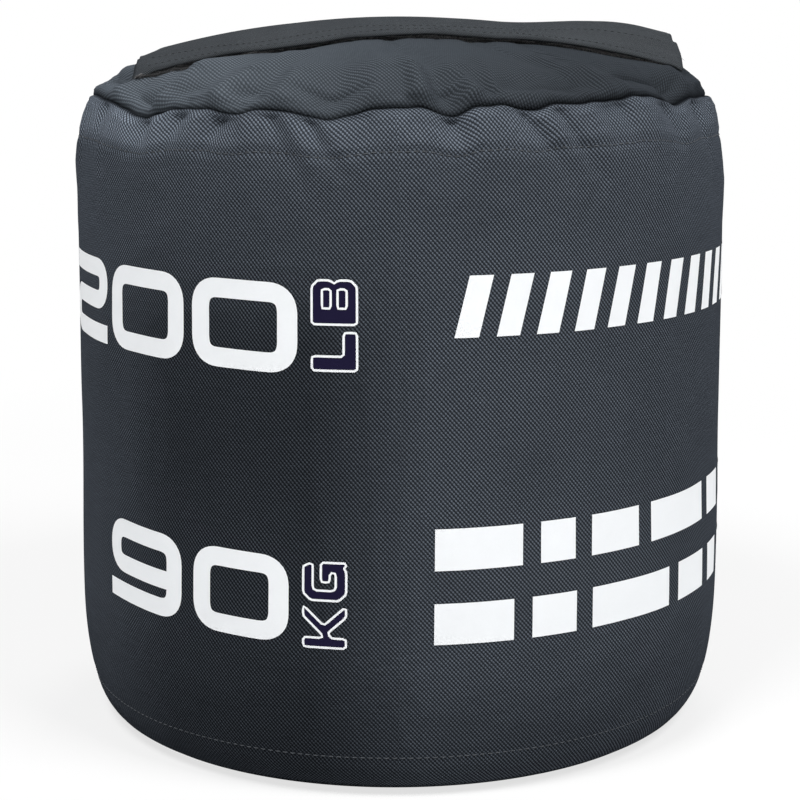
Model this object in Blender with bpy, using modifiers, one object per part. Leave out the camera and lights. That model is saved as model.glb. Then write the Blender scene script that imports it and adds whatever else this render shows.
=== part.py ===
"""Sandbag trainer: a round training bag of coated nylon, filled with sand in a liner.

Its domed top is in two halves joined by a zip, and a hook-and-loop flap covers the zip.
Metres, +Z up. The bag stands on z = 0 with its axis on the Z axis, and its front faces -Y.
"""

import math

import bmesh
import bpy
from mathutils import Matrix, Vector

# Cloth and how it is sewn
FABRIC = 0.0012
GAP = 0.0003
ALLOWANCE = 0.012
WEBBING = 0.0015
WEBBING_WIDTH = 0.015
SEAM_TAPE_WIDTH = 0.025

# Wall, from the floor up: each height adds to the one below, each inset is taken off the belly
BELLY_RADIUS = 0.211
BELLY_HEIGHT = 0.088
BASE_INSET = 0.034
CORNER_POWER = 2.65
BOTTOM_SEAM_SHARE = 0.17
WAIST_RISE = 0.112
WAIST_INSET = 0.0025
SHOULDER_RISE = 0.150
SHOULDER_INSET = 0.005
ROLL_RISE = 0.0335
ROLL_RADIUS = 0.0075

# Domed top: its seam is set in from the belly
TOP_SEAM_INSET = 0.016
DOME_RISE = 0.045
KNUCKLE_RADIUS = 0.0185

# Zip: it ends this far inside the top seam, and the tabs start just past its ends
ZIP_MARGIN = 0.045
END_TAB_CLEARANCE = 0.002
END_TAB_WIDTH = 0.040
TAPE = 0.0008
TAPE_WIDTH = 0.014
TAPE_CLEARANCE = 0.0005
TOOTH_PITCH = 0.006
TOOTH_HEIGHT = 0.003
TOOTH_REACH = 0.0012
TOOTH_TIP_SHARE = 0.7
RAIL_WIDTH = 0.0013
ROW_SPACING = 0.001
STOP_LENGTH = 0.003
STOP_PROUD = 0.0002

# Slider and its pull tab
SLIDER_LENGTH = 0.016
SLIDER_WIDTH = 0.012
SLIDER_PLATE = 0.0014
SLIDER_WEB = 0.0006
SLIDER_SIDE_CLEARANCE = 0.001
RUNNING_CLEARANCE = 0.0004
ARCH_HALF = 0.0038
ARCH_FOOT = 0.0014
ARCH_WIDTH = 0.003
ARCH_THICKNESS = 0.001
ARCH_CORNER_SHARE = 0.7
BAR_RADIUS = 0.0006
PULL_LENGTH = 0.026
PULL_WIDTH = 0.008
PULL_TIP_WIDTH = 0.0055
PULL_WINDOW_LENGTH = 0.0052
PULL_WINDOW_WIDTH = 0.0048
PULL_HOLE_RADIUS = 0.0016

# Cover flap: distances in front of and behind the zip, and inside the top seam at its ends
FLAP_FRONT = 0.092
FLAP_HINGE = 0.030
FLAP_MARGIN = 0.025
LINING = 0.001
TUNNEL_HALF = 0.014
TUNNEL_CLEARANCE = 0.0008
HEM_WIDTH = 0.014
STRIP = 0.0014
STRIP_WIDTH = 0.025
STRIP_INSET = 0.002
STRIP_END_INSET = 0.010

# Liner and sand
LINER = 0.0008
LINER_EASE = 0.008
LINER_SHOULDER_DROP = 0.030
LINER_DOME_INSET = 0.030
LINER_CLEARANCE = 0.003
DIP_RADIUS = 0.048
DIP_DEPTH = 0.024
NECK_RADIUS = 0.009
NECK_FLARE = 0.022
TIE_RADIUS = 0.0015

# How finely round shapes are cut
SEGMENTS = 32
CORNER_STEPS = 6
WALL_STEPS = 3
ROLL_STEPS = 2
KNUCKLE_STEPS = 3
CROWN_STEPS = 6
STRIP_STEPS = 12
TUBE_STEPS = 8
LINER_CORNER_STEPS = 4
LINER_WALL_STEPS = 1
LINER_CROWN_STEPS = 3

# A cutter passes its work by this much
OVERRUN = 0.01
MERGE = 0.00001
SHARP_ANGLE = math.radians(40)

# Where things come to, worked out from the sizes above
WAIST_HEIGHT = BELLY_HEIGHT + WAIST_RISE
SHOULDER_HEIGHT = WAIST_HEIGHT + SHOULDER_RISE
ROLL_HEIGHT = SHOULDER_HEIGHT + ROLL_RISE
TOP_SEAM_HEIGHT = ROLL_HEIGHT + ROLL_RADIUS
BASE_RADIUS = BELLY_RADIUS - BASE_INSET
TOP_SEAM_RADIUS = BELLY_RADIUS - TOP_SEAM_INSET
FOLD_REACH = GAP + FABRIC + GAP / 2
ROLL_CENTRE = TOP_SEAM_RADIUS + FOLD_REACH
CREST_HEIGHT = TOP_SEAM_HEIGHT + DOME_RISE
CROWN_RADIUS = (TOP_SEAM_RADIUS ** 2 - 2 * TOP_SEAM_RADIUS * KNUCKLE_RADIUS + DOME_RISE ** 2) / (
    2 * (DOME_RISE - KNUCKLE_RADIUS)
)
CROWN_CENTRE = CREST_HEIGHT - CROWN_RADIUS
LINER_DOME_RADIUS = TOP_SEAM_RADIUS - LINER_DOME_INSET
FLAP_HALF = TOP_SEAM_RADIUS - FLAP_MARGIN
STRIP_HALF = FLAP_HALF - STRIP_END_INSET
CHAIN_HALF = TOP_SEAM_RADIUS - ZIP_MARGIN
END_TAB_START = CHAIN_HALF + END_TAB_CLEARANCE
ZIP_OPENING = SLIDER_WIDTH + 2 * SLIDER_SIDE_CLEARANCE
TAPE_TOP = -(FABRIC + TAPE_CLEARANCE)
CHAIN_LEVEL = TAPE_TOP - TAPE / 2
CHANNEL_HALF_HEIGHT = TOOTH_HEIGHT / 2 + RUNNING_CLEARANCE
SLIDER_TOP = CHAIN_LEVEL + CHANNEL_HALF_HEIGHT + SLIDER_PLATE
SLIDER_BOTTOM = CHAIN_LEVEL - CHANNEL_HALF_HEIGHT - SLIDER_PLATE
BAR_SWING = BAR_RADIUS * math.sqrt(2) + GAP
BAR_LEVEL = SLIDER_TOP + BAR_SWING
ARCH_INNER = BAR_LEVEL + BAR_SWING
ARCH_TOP = ARCH_INNER + ARCH_THICKNESS
ROW_EDGE = ROW_SPACING / 2
RAIL_EDGE = ROW_EDGE + TOOTH_REACH + RAIL_WIDTH
SLIDER_LIMIT = CHAIN_HALF - STOP_LENGTH - SLIDER_LENGTH / 2 - RUNNING_CLEARANCE
SLIDER_REST_ANGLE = SLIDER_LIMIT / CROWN_RADIUS
TUNNEL_HEIGHT = ARCH_TOP + TUNNEL_CLEARANCE
STACK_HEIGHT = 2 * (GAP + STRIP) + GAP
HINGE_LEVEL = GAP + FABRIC / 2
HINGE_HEIGHT = CROWN_CENTRE + math.sqrt(CROWN_RADIUS ** 2 - FLAP_HINGE ** 2) + HINGE_LEVEL


def unit_normal(a, b):
    """The unit normal on the left of the run from a to b."""
    length = math.dist(a, b)
    return (a[1] - b[1]) / length, (b[0] - a[0]) / length


def mitres(path):
    """At each point of a path, the step to the left that carries both its edges by one unit."""
    edges = [unit_normal(a, b) for a, b in zip(path, path[1:])]
    befores = [edges[0]] + edges
    afters = edges + [edges[-1]]
    found = []
    for before, after in zip(befores, afters):
        spread = 1 + before[0] * after[0] + before[1] * after[1]
        found.append(((before[0] + after[0]) / spread, (before[1] + after[1]) / spread))
    return found


def offset(path, distance):
    """The path carried to its left. A point on the axis stays on it."""
    moved = []
    for (r, z), (across, up) in zip(path, mitres(path)):
        moved.append((r + across * distance if r else 0.0, z + up * distance))
    return moved


def strip(path, thickness):
    """The closed section of a ply that follows a path, half its thickness on each side."""
    return offset(path, thickness / 2) + offset(path, -thickness / 2)[::-1]


class Outline:
    """A curve of (radius, height) points with the inside of the bag on its left.

    A place on it is a station, the length run so far, and a depth to the inside.
    """

    def __init__(self, points):
        self.points = points
        self.mitres = mitres(points)
        self.stations = [0.0]
        for a, b in zip(points, points[1:]):
            self.stations.append(self.stations[-1] + math.dist(a, b))

    def at(self, station, depth):
        """The point at a station and depth, run on straight past either end. The axis keeps its points."""
        for known, (r, z), (across, up) in zip(self.stations, self.points, self.mitres):
            if abs(known - station) < MERGE:
                return (r + across * depth if r else 0.0), z + up * depth
        index = max(i for i, known in enumerate(self.stations[:-1]) if i == 0 or known < station)
        a, b = self.points[index], self.points[index + 1]
        across, up = unit_normal(a, b)
        along = (station - self.stations[index]) / math.dist(a, b)
        r = a[0] + (b[0] - a[0]) * along
        z = a[1] + (b[1] - a[1]) * along
        return r + across * depth, z + up * depth

    def run(self, start, end, depth):
        """The points from one station to another at one depth, either way along the curve.

        A corner too near an end for its depth is left out, where the mitre would run back on itself.
        """
        low, high = min(start, end), max(start, end)
        clear = MERGE + abs(depth) / 2
        between = [s for s in self.stations if low + clear < s < high - clear]
        points = [self.at(s, depth) for s in [low] + between + [high]]
        return points if start <= end else points[::-1]

    def bottom_seam(self, corner_steps):
        """The station of the bottom seam, on a wall whose corner has so many steps."""
        start, end = self.stations[1], self.stations[1 + corner_steps]
        return start + (end - start) * BOTTOM_SEAM_SHARE

    def station_at_radius(self, radius):
        """Where a curve that runs in to the axis passes a radius."""
        for i in range(len(self.points) - 1):
            (r0, _), (r1, _) = self.points[i], self.points[i + 1]
            if r1 <= radius < r0:
                share = (r0 - radius) / (r0 - r1)
                return self.stations[i] + (self.stations[i + 1] - self.stations[i]) * share
        return self.stations[-1]


def eased(low, high, steps):
    """Points that ease from one (radius, height) to another, upright at both ends, without the first."""
    points = []
    for i in range(1, steps + 1):
        share = i / steps
        ease = (1 - math.cos(math.pi * share)) / 2
        points.append((low[0] + (high[0] - low[0]) * ease, low[1] + (high[1] - low[1]) * share))
    return points


def wall_points(corner_steps, wall_steps):
    """The outside of the bag from the middle of its floor to the fold at the top of the wall."""
    points = [(0.0, 0.0)]
    for i in range(corner_steps + 1):
        turn = math.pi / 2 * i / corner_steps
        across = math.sin(turn) ** (2 / CORNER_POWER)
        up = 1 - math.cos(turn) ** (2 / CORNER_POWER)
        points.append((BASE_RADIUS + BASE_INSET * across, BELLY_HEIGHT * up))
    belly = (BELLY_RADIUS, BELLY_HEIGHT)
    waist = (BELLY_RADIUS - WAIST_INSET, WAIST_HEIGHT)
    shoulder = (BELLY_RADIUS - SHOULDER_INSET, SHOULDER_HEIGHT)
    roll = (ROLL_CENTRE + ROLL_RADIUS, ROLL_HEIGHT)
    points += eased(belly, waist, wall_steps)
    points += eased(waist, shoulder, wall_steps)
    points += eased(shoulder, roll, 1)
    for i in range(1, ROLL_STEPS + 1):
        turn = math.pi / 2 * i / ROLL_STEPS
        across = ROLL_RADIUS * math.cos(turn)
        points.append((ROLL_CENTRE + across, ROLL_HEIGHT + ROLL_RADIUS * math.sin(turn)))
    return points


def dome_points(knuckle_steps, crown_steps):
    """The outside of the top from its seam over the knuckle to the crest on the axis."""
    knuckle_radius = TOP_SEAM_RADIUS - KNUCKLE_RADIUS
    meeting = math.asin(knuckle_radius / (CROWN_RADIUS - KNUCKLE_RADIUS))
    points = []
    for i in range(knuckle_steps):
        turn = (math.pi / 2 - meeting) * i / knuckle_steps
        across = KNUCKLE_RADIUS * math.cos(turn)
        points.append((knuckle_radius + across, TOP_SEAM_HEIGHT + KNUCKLE_RADIUS * math.sin(turn)))
    for i in range(crown_steps + 1):
        turn = meeting * (1 - i / crown_steps)
        points.append((CROWN_RADIUS * math.sin(turn), CROWN_CENTRE + CROWN_RADIUS * math.cos(turn)))
    points[-1] = (0.0, CREST_HEIGHT)
    return points


def make_collection(name):
    collection = bpy.data.collections.new(name)
    bpy.context.scene.collection.children.link(collection)
    return collection


def clear_scene():
    for old in list(bpy.data.objects):
        bpy.data.objects.remove(old)


def look(name, colour, roughness, metallic=0.0):
    """A plain material of one finish."""
    material = bpy.data.materials.new(name)
    material.use_nodes = True
    shader = material.node_tree.nodes["Principled BSDF"]
    shader.inputs["Base Color"].default_value = (*colour, 1)
    shader.inputs["Roughness"].default_value = roughness
    shader.inputs["Metallic"].default_value = metallic
    return material


def add_object(name, mesh, material, collection):
    piece = bpy.data.objects.new(name, mesh)
    piece.data.materials.append(material)
    collection.objects.link(piece)
    return piece


def turned(name, section, material, collection):
    """A section of (radius, height) points, outer side downward, turned round the Z axis."""
    mesh = bpy.data.meshes.new(name)
    ends = [(i, (i + 1) % len(section)) for i in range(len(section))]
    edges = [(a, b) for a, b in ends if section[a][0] > 0 or section[b][0] > 0]
    mesh.from_pydata([(r, 0, z) for r, z in section], edges, [])
    piece = add_object(name, mesh, material, collection)
    screw = piece.modifiers.new("Turn", "SCREW")
    screw.axis = "Z"
    screw.angle = math.tau
    screw.steps = SEGMENTS
    screw.render_steps = SEGMENTS
    screw.use_merge_vertices = True
    screw.merge_threshold = MERGE
    screw.use_smooth_shade = True
    return piece


def block(name, low, high, cutters):
    """A box between two corners, kept as a cutter."""
    bm = bmesh.new()
    size = [b - a for a, b in zip(low, high)]
    middle = [(a + b) / 2 for a, b in zip(low, high)]
    bmesh.ops.create_cube(bm, size=1, matrix=Matrix.Translation(middle) @ Matrix.Diagonal((*size, 1)))
    mesh = bpy.data.meshes.new(name)
    bm.to_mesh(mesh)
    bm.free()
    cutter = bpy.data.objects.new(name, mesh)
    cutters.objects.link(cutter)
    cutter.hide_render = True
    cutter.display_type = "WIRE"
    return cutter


def combine(piece, other, operation):
    boolean = piece.modifiers.new(operation.title(), "BOOLEAN")
    boolean.object = other
    boolean.operation = operation
    boolean.solver = "EXACT"


def prism(name, outlines, half_length, axis):
    """Closed outlines of (x, y) points, the later ones holes, pushed out both ways, stood along an axis."""
    curve = bpy.data.curves.new(name, "CURVE")
    curve.dimensions = "2D"
    curve.fill_mode = "BOTH"
    curve.extrude = half_length
    for outline in outlines:
        spline = curve.splines.new("POLY")
        spline.points.add(len(outline) - 1)
        for point, (x, y) in zip(spline.points, outline):
            point.co = (x, y, 0, 1)
        spline.use_cyclic_u = True
    guide = bpy.data.objects.new(name, curve)
    bpy.context.scene.collection.objects.link(guide)
    graph = bpy.context.evaluated_depsgraph_get()
    mesh = bpy.data.meshes.new_from_object(guide.evaluated_get(graph))
    bpy.data.objects.remove(guide)
    bm = bmesh.new()
    bm.from_mesh(mesh)
    bmesh.ops.remove_doubles(bm, verts=bm.verts, dist=MERGE)
    along_x = Matrix(((0, 0, 1), (1, 0, 0), (0, 1, 0)))
    along_y = Matrix(((1, 0, 0), (0, 0, -1), (0, 1, 0)))
    stand = {"X": along_x, "Y": along_y}
    if axis in stand:
        bmesh.ops.rotate(bm, verts=bm.verts, cent=(0, 0, 0), matrix=stand[axis])
    return finish_mesh(bm, name)


def on_crown(y, level):
    """A point above the middle line of the crown, at a level over its cloth."""
    return 0, y, CROWN_CENTRE + math.sqrt(CROWN_RADIUS ** 2 - y ** 2) + level


def sweep_on_crown(bm, section, start_arc, end_arc, steps):
    """Adds a section of (y, level) points swept along the crown, between two arcs from its middle."""
    centre = (0, 0, CROWN_CENTRE)
    ring = [bm.verts.new(on_crown(y, level)) for y, level in section]
    turn = Matrix.Rotation(start_arc / CROWN_RADIUS, 3, "Y")
    bmesh.ops.rotate(bm, verts=ring, cent=centre, matrix=turn)
    face = bm.faces.new(ring)
    angle = (end_arc - start_arc) / CROWN_RADIUS
    bmesh.ops.spin(bm, geom=[face], cent=centre, axis=(0, 1, 0), angle=angle, steps=steps)


def finish_mesh(bm, name):
    """The mesh of a bmesh with its faces turned outward and its corners sharp."""
    bmesh.ops.recalc_face_normals(bm, faces=bm.faces)
    mesh = bpy.data.meshes.new(name)
    bm.to_mesh(mesh)
    bm.free()
    mesh.shade_smooth()
    mesh.set_sharp_from_angle(angle=SHARP_ANGLE)
    return mesh


def crown_strip(name, section, half_arc, material, collection):
    """A section of (y, level) points swept along the crown from end to end."""
    bm = bmesh.new()
    sweep_on_crown(bm, section, -half_arc, half_arc, STRIP_STEPS)
    return add_object(name, finish_mesh(bm, name), material, collection)


def flat_section(y0, y1, low, high):
    """A thin section between two edges, split so that it bends with the crown."""
    middle = (y0 + y1) / 2
    return [(y0, low), (middle, low), (y1, low), (y1, high), (middle, high), (y0, high)]


def make_shell(wall, cloth, webbing, parts, cutters):
    """The wall, its seams and the bottom."""
    seam = wall.bottom_seam(CORNER_STEPS)
    top = wall.stations[-1]
    outer, inner = FABRIC / 2, FABRIC * 1.5 + GAP
    fold = (FABRIC + GAP) / 2
    low_fold = seam + FABRIC + GAP

    def folded(station, side):
        """The turn of a raw edge to the inside, with side -1 at the bottom and 1 at the top."""
        points = []
        for share in (0.25, 0.5, 0.75):
            turn = math.pi * share
            past, depth = fold * math.sin(turn), fold * (1 - math.cos(turn))
            points.append(wall.at(station + side * past, outer + depth))
        return points

    path = wall.run(low_fold + ALLOWANCE, low_fold, inner)
    path += folded(low_fold, -1)[::-1]
    path += wall.run(low_fold, top, outer)
    path += folded(top, 1)
    path += wall.run(top, top - ALLOWANCE, inner)
    turned("wall_panel", strip(path, FABRIC), cloth, parts)

    skirt = FABRIC * 2.5 + GAP * 2
    jog = seam - GAP / 2 - FABRIC / 2
    path = wall.run(0.0, jog, outer) + wall.run(jog, low_fold + ALLOWANCE, skirt)
    turned("bottom_panel", strip(path, FABRIC), cloth, parts)

    behind_wall = FABRIC + GAP + WEBBING / 2
    low_band = low_fold + ALLOWANCE + GAP
    high_band = top - ALLOWANCE - GAP
    path = wall.run(low_band, low_band + WEBBING_WIDTH, behind_wall)
    turned("bottom_seam_webbing", strip(path, WEBBING), webbing, parts)
    path = wall.run(high_band - WEBBING_WIDTH, high_band, behind_wall)
    turned("top_seam_webbing", strip(path, WEBBING), webbing, parts)

    path = wall.run(low_band + WEBBING_WIDTH + GAP, high_band - WEBBING_WIDTH - GAP, behind_wall)
    tape = turned("back_seam_tape", strip(path, WEBBING), webbing, parts)
    half = SEAM_TAPE_WIDTH / 2
    reach = BELLY_RADIUS + OVERRUN
    combine(tape, block("cut_back_tape", (-half, 0, 0), (half, reach, CREST_HEIGHT), cutters), "INTERSECT")


def make_top(wall, dome, cloth, parts, cutters):
    """The two halves of the domed top and the tabs behind the ends of the slit."""
    skirt = FABRIC * 2.5 + GAP * 2
    top = wall.stations[-1]
    path = wall.run(top - ALLOWANCE, top + FOLD_REACH + FABRIC / 2, skirt)
    path += dome.run(0.0, dome.stations[-1], FABRIC / 2)
    reach = BELLY_RADIUS + OVERRUN
    half = ZIP_OPENING / 2
    for name, side in (("top_panel_front", -1), ("top_panel_rear", 1)):
        panel = turned(name, strip(path, FABRIC), cloth, parts)
        near, far = sorted((side * half, side * reach))
        keep = block("keep_" + name, (-reach, near, 0), (reach, far, CREST_HEIGHT + OVERRUN), cutters)
        combine(panel, keep, "INTERSECT")

    start = dome.station_at_radius(END_TAB_START)
    path = dome.run(0.0, start, FABRIC * 1.5 + GAP)
    half = END_TAB_WIDTH / 2
    for name, side in (("zip_end_tab_left", -1), ("zip_end_tab_right", 1)):
        tab = turned(name, strip(path, FABRIC), cloth, parts)
        near, far = sorted((0, side * reach))
        keep = block("keep_" + name, (near, -half, 0), (far, half, CREST_HEIGHT + OVERRUN), cutters)
        combine(tab, keep, "INTERSECT")


def make_teeth(name, side, stagger, material, parts):
    """A row of teeth on its rail, as a comb laid on the crown and raised to its height.

    Each tooth is raised straight up from its own middle, so that all its faces are flat.
    """
    row_half = CHAIN_HALF - STOP_LENGTH - GAP
    pairs = int(row_half / TOOTH_PITCH)
    columns = 4 * pairs + 1
    width = 2 * row_half / columns
    bm = bmesh.new()
    bmesh.ops.create_grid(bm, x_segments=columns, y_segments=2, size=1)
    edges = (ROW_EDGE, ROW_EDGE + TOOTH_REACH, RAIL_EDGE)
    bare = []
    for face in bm.faces:
        middle = face.calc_center_median()
        column = int((middle.x + 1) / 2 * columns)
        if middle.y < 0 and column % 2 == stagger:
            bare.append(face)
    bmesh.ops.delete(bm, geom=bare, context="FACES")
    rise = {}
    for vert in bm.verts:
        row = round(vert.co.y) + 1
        place = round((vert.co.x + 1) / 2 * columns)
        tooth = place + 0.5 if place % 2 != stagger else place - 0.5
        if row == 0:
            place = tooth + (place - tooth) * TOOTH_TIP_SHARE
        turn = (place * width - row_half) / CROWN_RADIUS
        middle = (tooth * width - row_half) / CROWN_RADIUS
        y = edges[row]
        radius = math.sqrt(CROWN_RADIUS ** 2 - y ** 2) + CHAIN_LEVEL - TOOTH_HEIGHT / 2
        vert.co = (radius * math.sin(turn), side * y, CROWN_CENTRE + radius * math.cos(turn))
        rise[tuple(vert.co)] = Vector((math.sin(middle), 0, math.cos(middle))) * TOOTH_HEIGHT
    raised = bmesh.ops.extrude_face_region(bm, geom=bm.faces[:], use_keep_orig=True)
    for element in raised["geom"]:
        if isinstance(element, bmesh.types.BMVert):
            element.co += rise[tuple(element.co)]
    add_object(name, finish_mesh(bm, name), material, parts)


def make_zip(tape, plastic, parts):
    """The zip's tapes, teeth and end stops."""
    for name, side in (("zip_tape_front", -1), ("zip_tape_rear", 1)):
        near, far = side * (RAIL_EDGE + GAP), side * (RAIL_EDGE + GAP + TAPE_WIDTH)
        crown_strip(name, flat_section(near, far, TAPE_TOP - TAPE, TAPE_TOP), CHAIN_HALF, tape, parts)
    make_teeth("zip_teeth_front", -1, 1, plastic, parts)
    make_teeth("zip_teeth_rear", 1, 0, plastic, parts)

    half = TOOTH_HEIGHT / 2 + STOP_PROUD
    section = flat_section(-RAIL_EDGE, RAIL_EDGE, CHAIN_LEVEL - half, CHAIN_LEVEL + half)
    for name, start in (("zip_stop_left", -CHAIN_HALF), ("zip_stop_right", CHAIN_HALF - STOP_LENGTH)):
        bm = bmesh.new()
        sweep_on_crown(bm, section, start, start + STOP_LENGTH, 1)
        add_object(name, finish_mesh(bm, name), plastic, parts)


def hang(piece, pivot):
    """Makes a piece follow an empty that stands on its joint's axis, without moving it."""
    bpy.context.view_layer.update()
    piece.parent = pivot
    piece.matrix_parent_inverse = pivot.matrix_world.inverted()


def make_pivot(name, place, collection, parent=None):
    pivot = bpy.data.objects.new(name, None)
    pivot.location = place
    pivot.parent = parent
    pivot.empty_display_size = SLIDER_LENGTH
    collection.objects.link(pivot)
    return pivot


def make_slider(metal, parts):
    """The slider and its pull, built over the crest and then turned along the crown to where they park."""
    half_width = SLIDER_WIDTH / 2
    channel = RAIL_EDGE + RUNNING_CLEARANCE
    slot = TAPE / 2 + RUNNING_CLEARANCE
    top, roof = SLIDER_TOP, CHAIN_LEVEL + CHANNEL_HALF_HEIGHT
    bottom, floor = SLIDER_BOTTOM, CHAIN_LEVEL - CHANNEL_HALF_HEIGHT
    web = SLIDER_WEB / 2
    over, under = CHAIN_LEVEL + slot, CHAIN_LEVEL - slot
    side = [
        (half_width, top), (half_width, over), (channel, over), (channel, roof), (web, roof),
        (web, floor), (channel, floor), (channel, under), (half_width, under), (half_width, bottom),
    ]
    outline = side + [(-y, level) for y, level in side[::-1]]
    mesh = prism("zip_slider", [outline], SLIDER_LENGTH / 2, "X")
    slider = add_object("zip_slider", mesh, metal, parts)

    foot = SLIDER_TOP - SLIDER_PLATE / 2
    inner = ARCH_HALF - ARCH_FOOT
    corner = ARCH_THICKNESS * ARCH_CORNER_SHARE
    arch = [
        (-ARCH_HALF, foot), (-inner, foot), (-inner, ARCH_INNER), (inner, ARCH_INNER), (inner, foot),
        (ARCH_HALF, foot), (ARCH_HALF, ARCH_TOP - corner), (ARCH_HALF - corner, ARCH_TOP),
        (corner - ARCH_HALF, ARCH_TOP), (-ARCH_HALF, ARCH_TOP - corner),
    ]
    bridge = bpy.data.objects.new("slider_arch", prism("slider_arch", [arch], ARCH_WIDTH / 2, "Y"))
    bridge.hide_render = True
    bridge.display_type = "WIRE"
    combine(slider, bridge, "UNION")

    reach = PULL_LENGTH - BAR_RADIUS
    near, tip = PULL_WIDTH / 2, PULL_TIP_WIDTH / 2
    neck = BAR_RADIUS + PULL_WINDOW_LENGTH + near
    tab = [
        (-BAR_RADIUS, -near), (neck - near / 2, -near), (neck + near / 2, -tip), (reach - tip / 2, -tip),
        (reach, -tip / 2), (reach, tip / 2), (reach - tip / 2, tip), (neck + near / 2, tip),
        (neck - near / 2, near), (-BAR_RADIUS, near),
    ]
    start, end = BAR_RADIUS, BAR_RADIUS + PULL_WINDOW_LENGTH
    half = PULL_WINDOW_WIDTH / 2
    window = [(start, -half), (end, -half), (end, half), (start, half)]
    hole_centre = reach - 2 * PULL_HOLE_RADIUS
    hole = []
    for i in range(TUBE_STEPS):
        turn = math.tau * i / TUBE_STEPS
        hole.append((hole_centre + PULL_HOLE_RADIUS * math.cos(turn), PULL_HOLE_RADIUS * math.sin(turn)))
    pull = add_object("zip_pull", prism("zip_pull", [tab, window, hole], BAR_RADIUS, "Z"), metal, parts)

    travel = make_pivot("zip_travel_axis", (0, 0, CROWN_CENTRE), parts)
    travel.rotation_euler = (0, SLIDER_REST_ANGLE, 0)
    swing = make_pivot("pull_swing_axis", (0, 0, CROWN_RADIUS + BAR_LEVEL), parts, travel)
    slider.parent = travel
    slider.location = (0, 0, CROWN_RADIUS)
    bridge.parent = travel
    bridge.location = slider.location
    pull.parent = swing
    return bridge


def flap_rise(y):
    """How far the lining's underside stands over the crown at y: low on the strips, high over the zip."""
    start, end = -FLAP_FRONT + FABRIC + STRIP_INSET + STRIP_WIDTH, -TUNNEL_HALF
    share = min(max((y - start) / (end - start), 0.0), 1.0)
    ease = (1 - math.cos(math.pi * share)) / 2
    return STACK_HEIGHT + (TUNNEL_HEIGHT - STACK_HEIGHT) * ease


def make_flap(cloth, lining_cloth, hook, loop, parts):
    """The cover flap, hinged behind the zip, with its closure on the front half."""
    front = -FLAP_FRONT
    strip_front = front + FABRIC + STRIP_INSET
    strip_end = strip_front + STRIP_WIDTH
    edge = front + FABRIC / 2
    slope_shares = (0, 0.25, 0.5, 0.75, 1)
    slope = [strip_end + (-TUNNEL_HALF - strip_end) * share for share in slope_shares]
    cover_level = LINING + GAP + FABRIC / 2

    path = [(edge, 2 * GAP), (edge, STACK_HEIGHT + cover_level)]
    path += [(y, flap_rise(y) + cover_level) for y in slope]
    path.append((TUNNEL_HALF, TUNNEL_HEIGHT + cover_level))
    drop = TUNNEL_HEIGHT + cover_level - HINGE_LEVEL
    for share in slope_shares[1:]:
        y = TUNNEL_HALF + (FLAP_HINGE - TUNNEL_HALF) * share
        path.append((y, HINGE_LEVEL + drop * (1 + math.cos(math.pi * share)) / 2))
    cover = crown_strip("flap_cover", strip(path, FABRIC), FLAP_HALF, cloth, parts)

    path = [(front + FABRIC + GAP, STACK_HEIGHT + LINING / 2)]
    path += [(y, flap_rise(y) + LINING / 2) for y in slope]
    path.append((TUNNEL_HALF, TUNNEL_HEIGHT + LINING / 2))
    lining = crown_strip("flap_lining", strip(path, LINING), FLAP_HALF - FABRIC, lining_cloth, parts)

    low = GAP + STRIP + GAP
    section = flat_section(strip_front, strip_end, low, low + STRIP)
    hooks = crown_strip("flap_hook_strip", section, STRIP_HALF, hook, parts)
    section = flat_section(strip_front, strip_end, GAP, GAP + STRIP)
    crown_strip("flap_loop_strip", section, STRIP_HALF, loop, parts)

    # The hem starts far enough behind the hinge to clear the outer face of the open flap
    root = FLAP_HINGE + FABRIC * 1.5 + GAP
    section = flat_section(root, root + HEM_WIDTH, GAP, GAP + FABRIC)
    crown_strip("flap_hem", section, FLAP_HALF, cloth, parts)

    pivot = make_pivot("flap_hinge_axis", (0, FLAP_HINGE, HINGE_HEIGHT), parts)
    for piece in (cover, lining, hooks):
        hang(piece, pivot)


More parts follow.
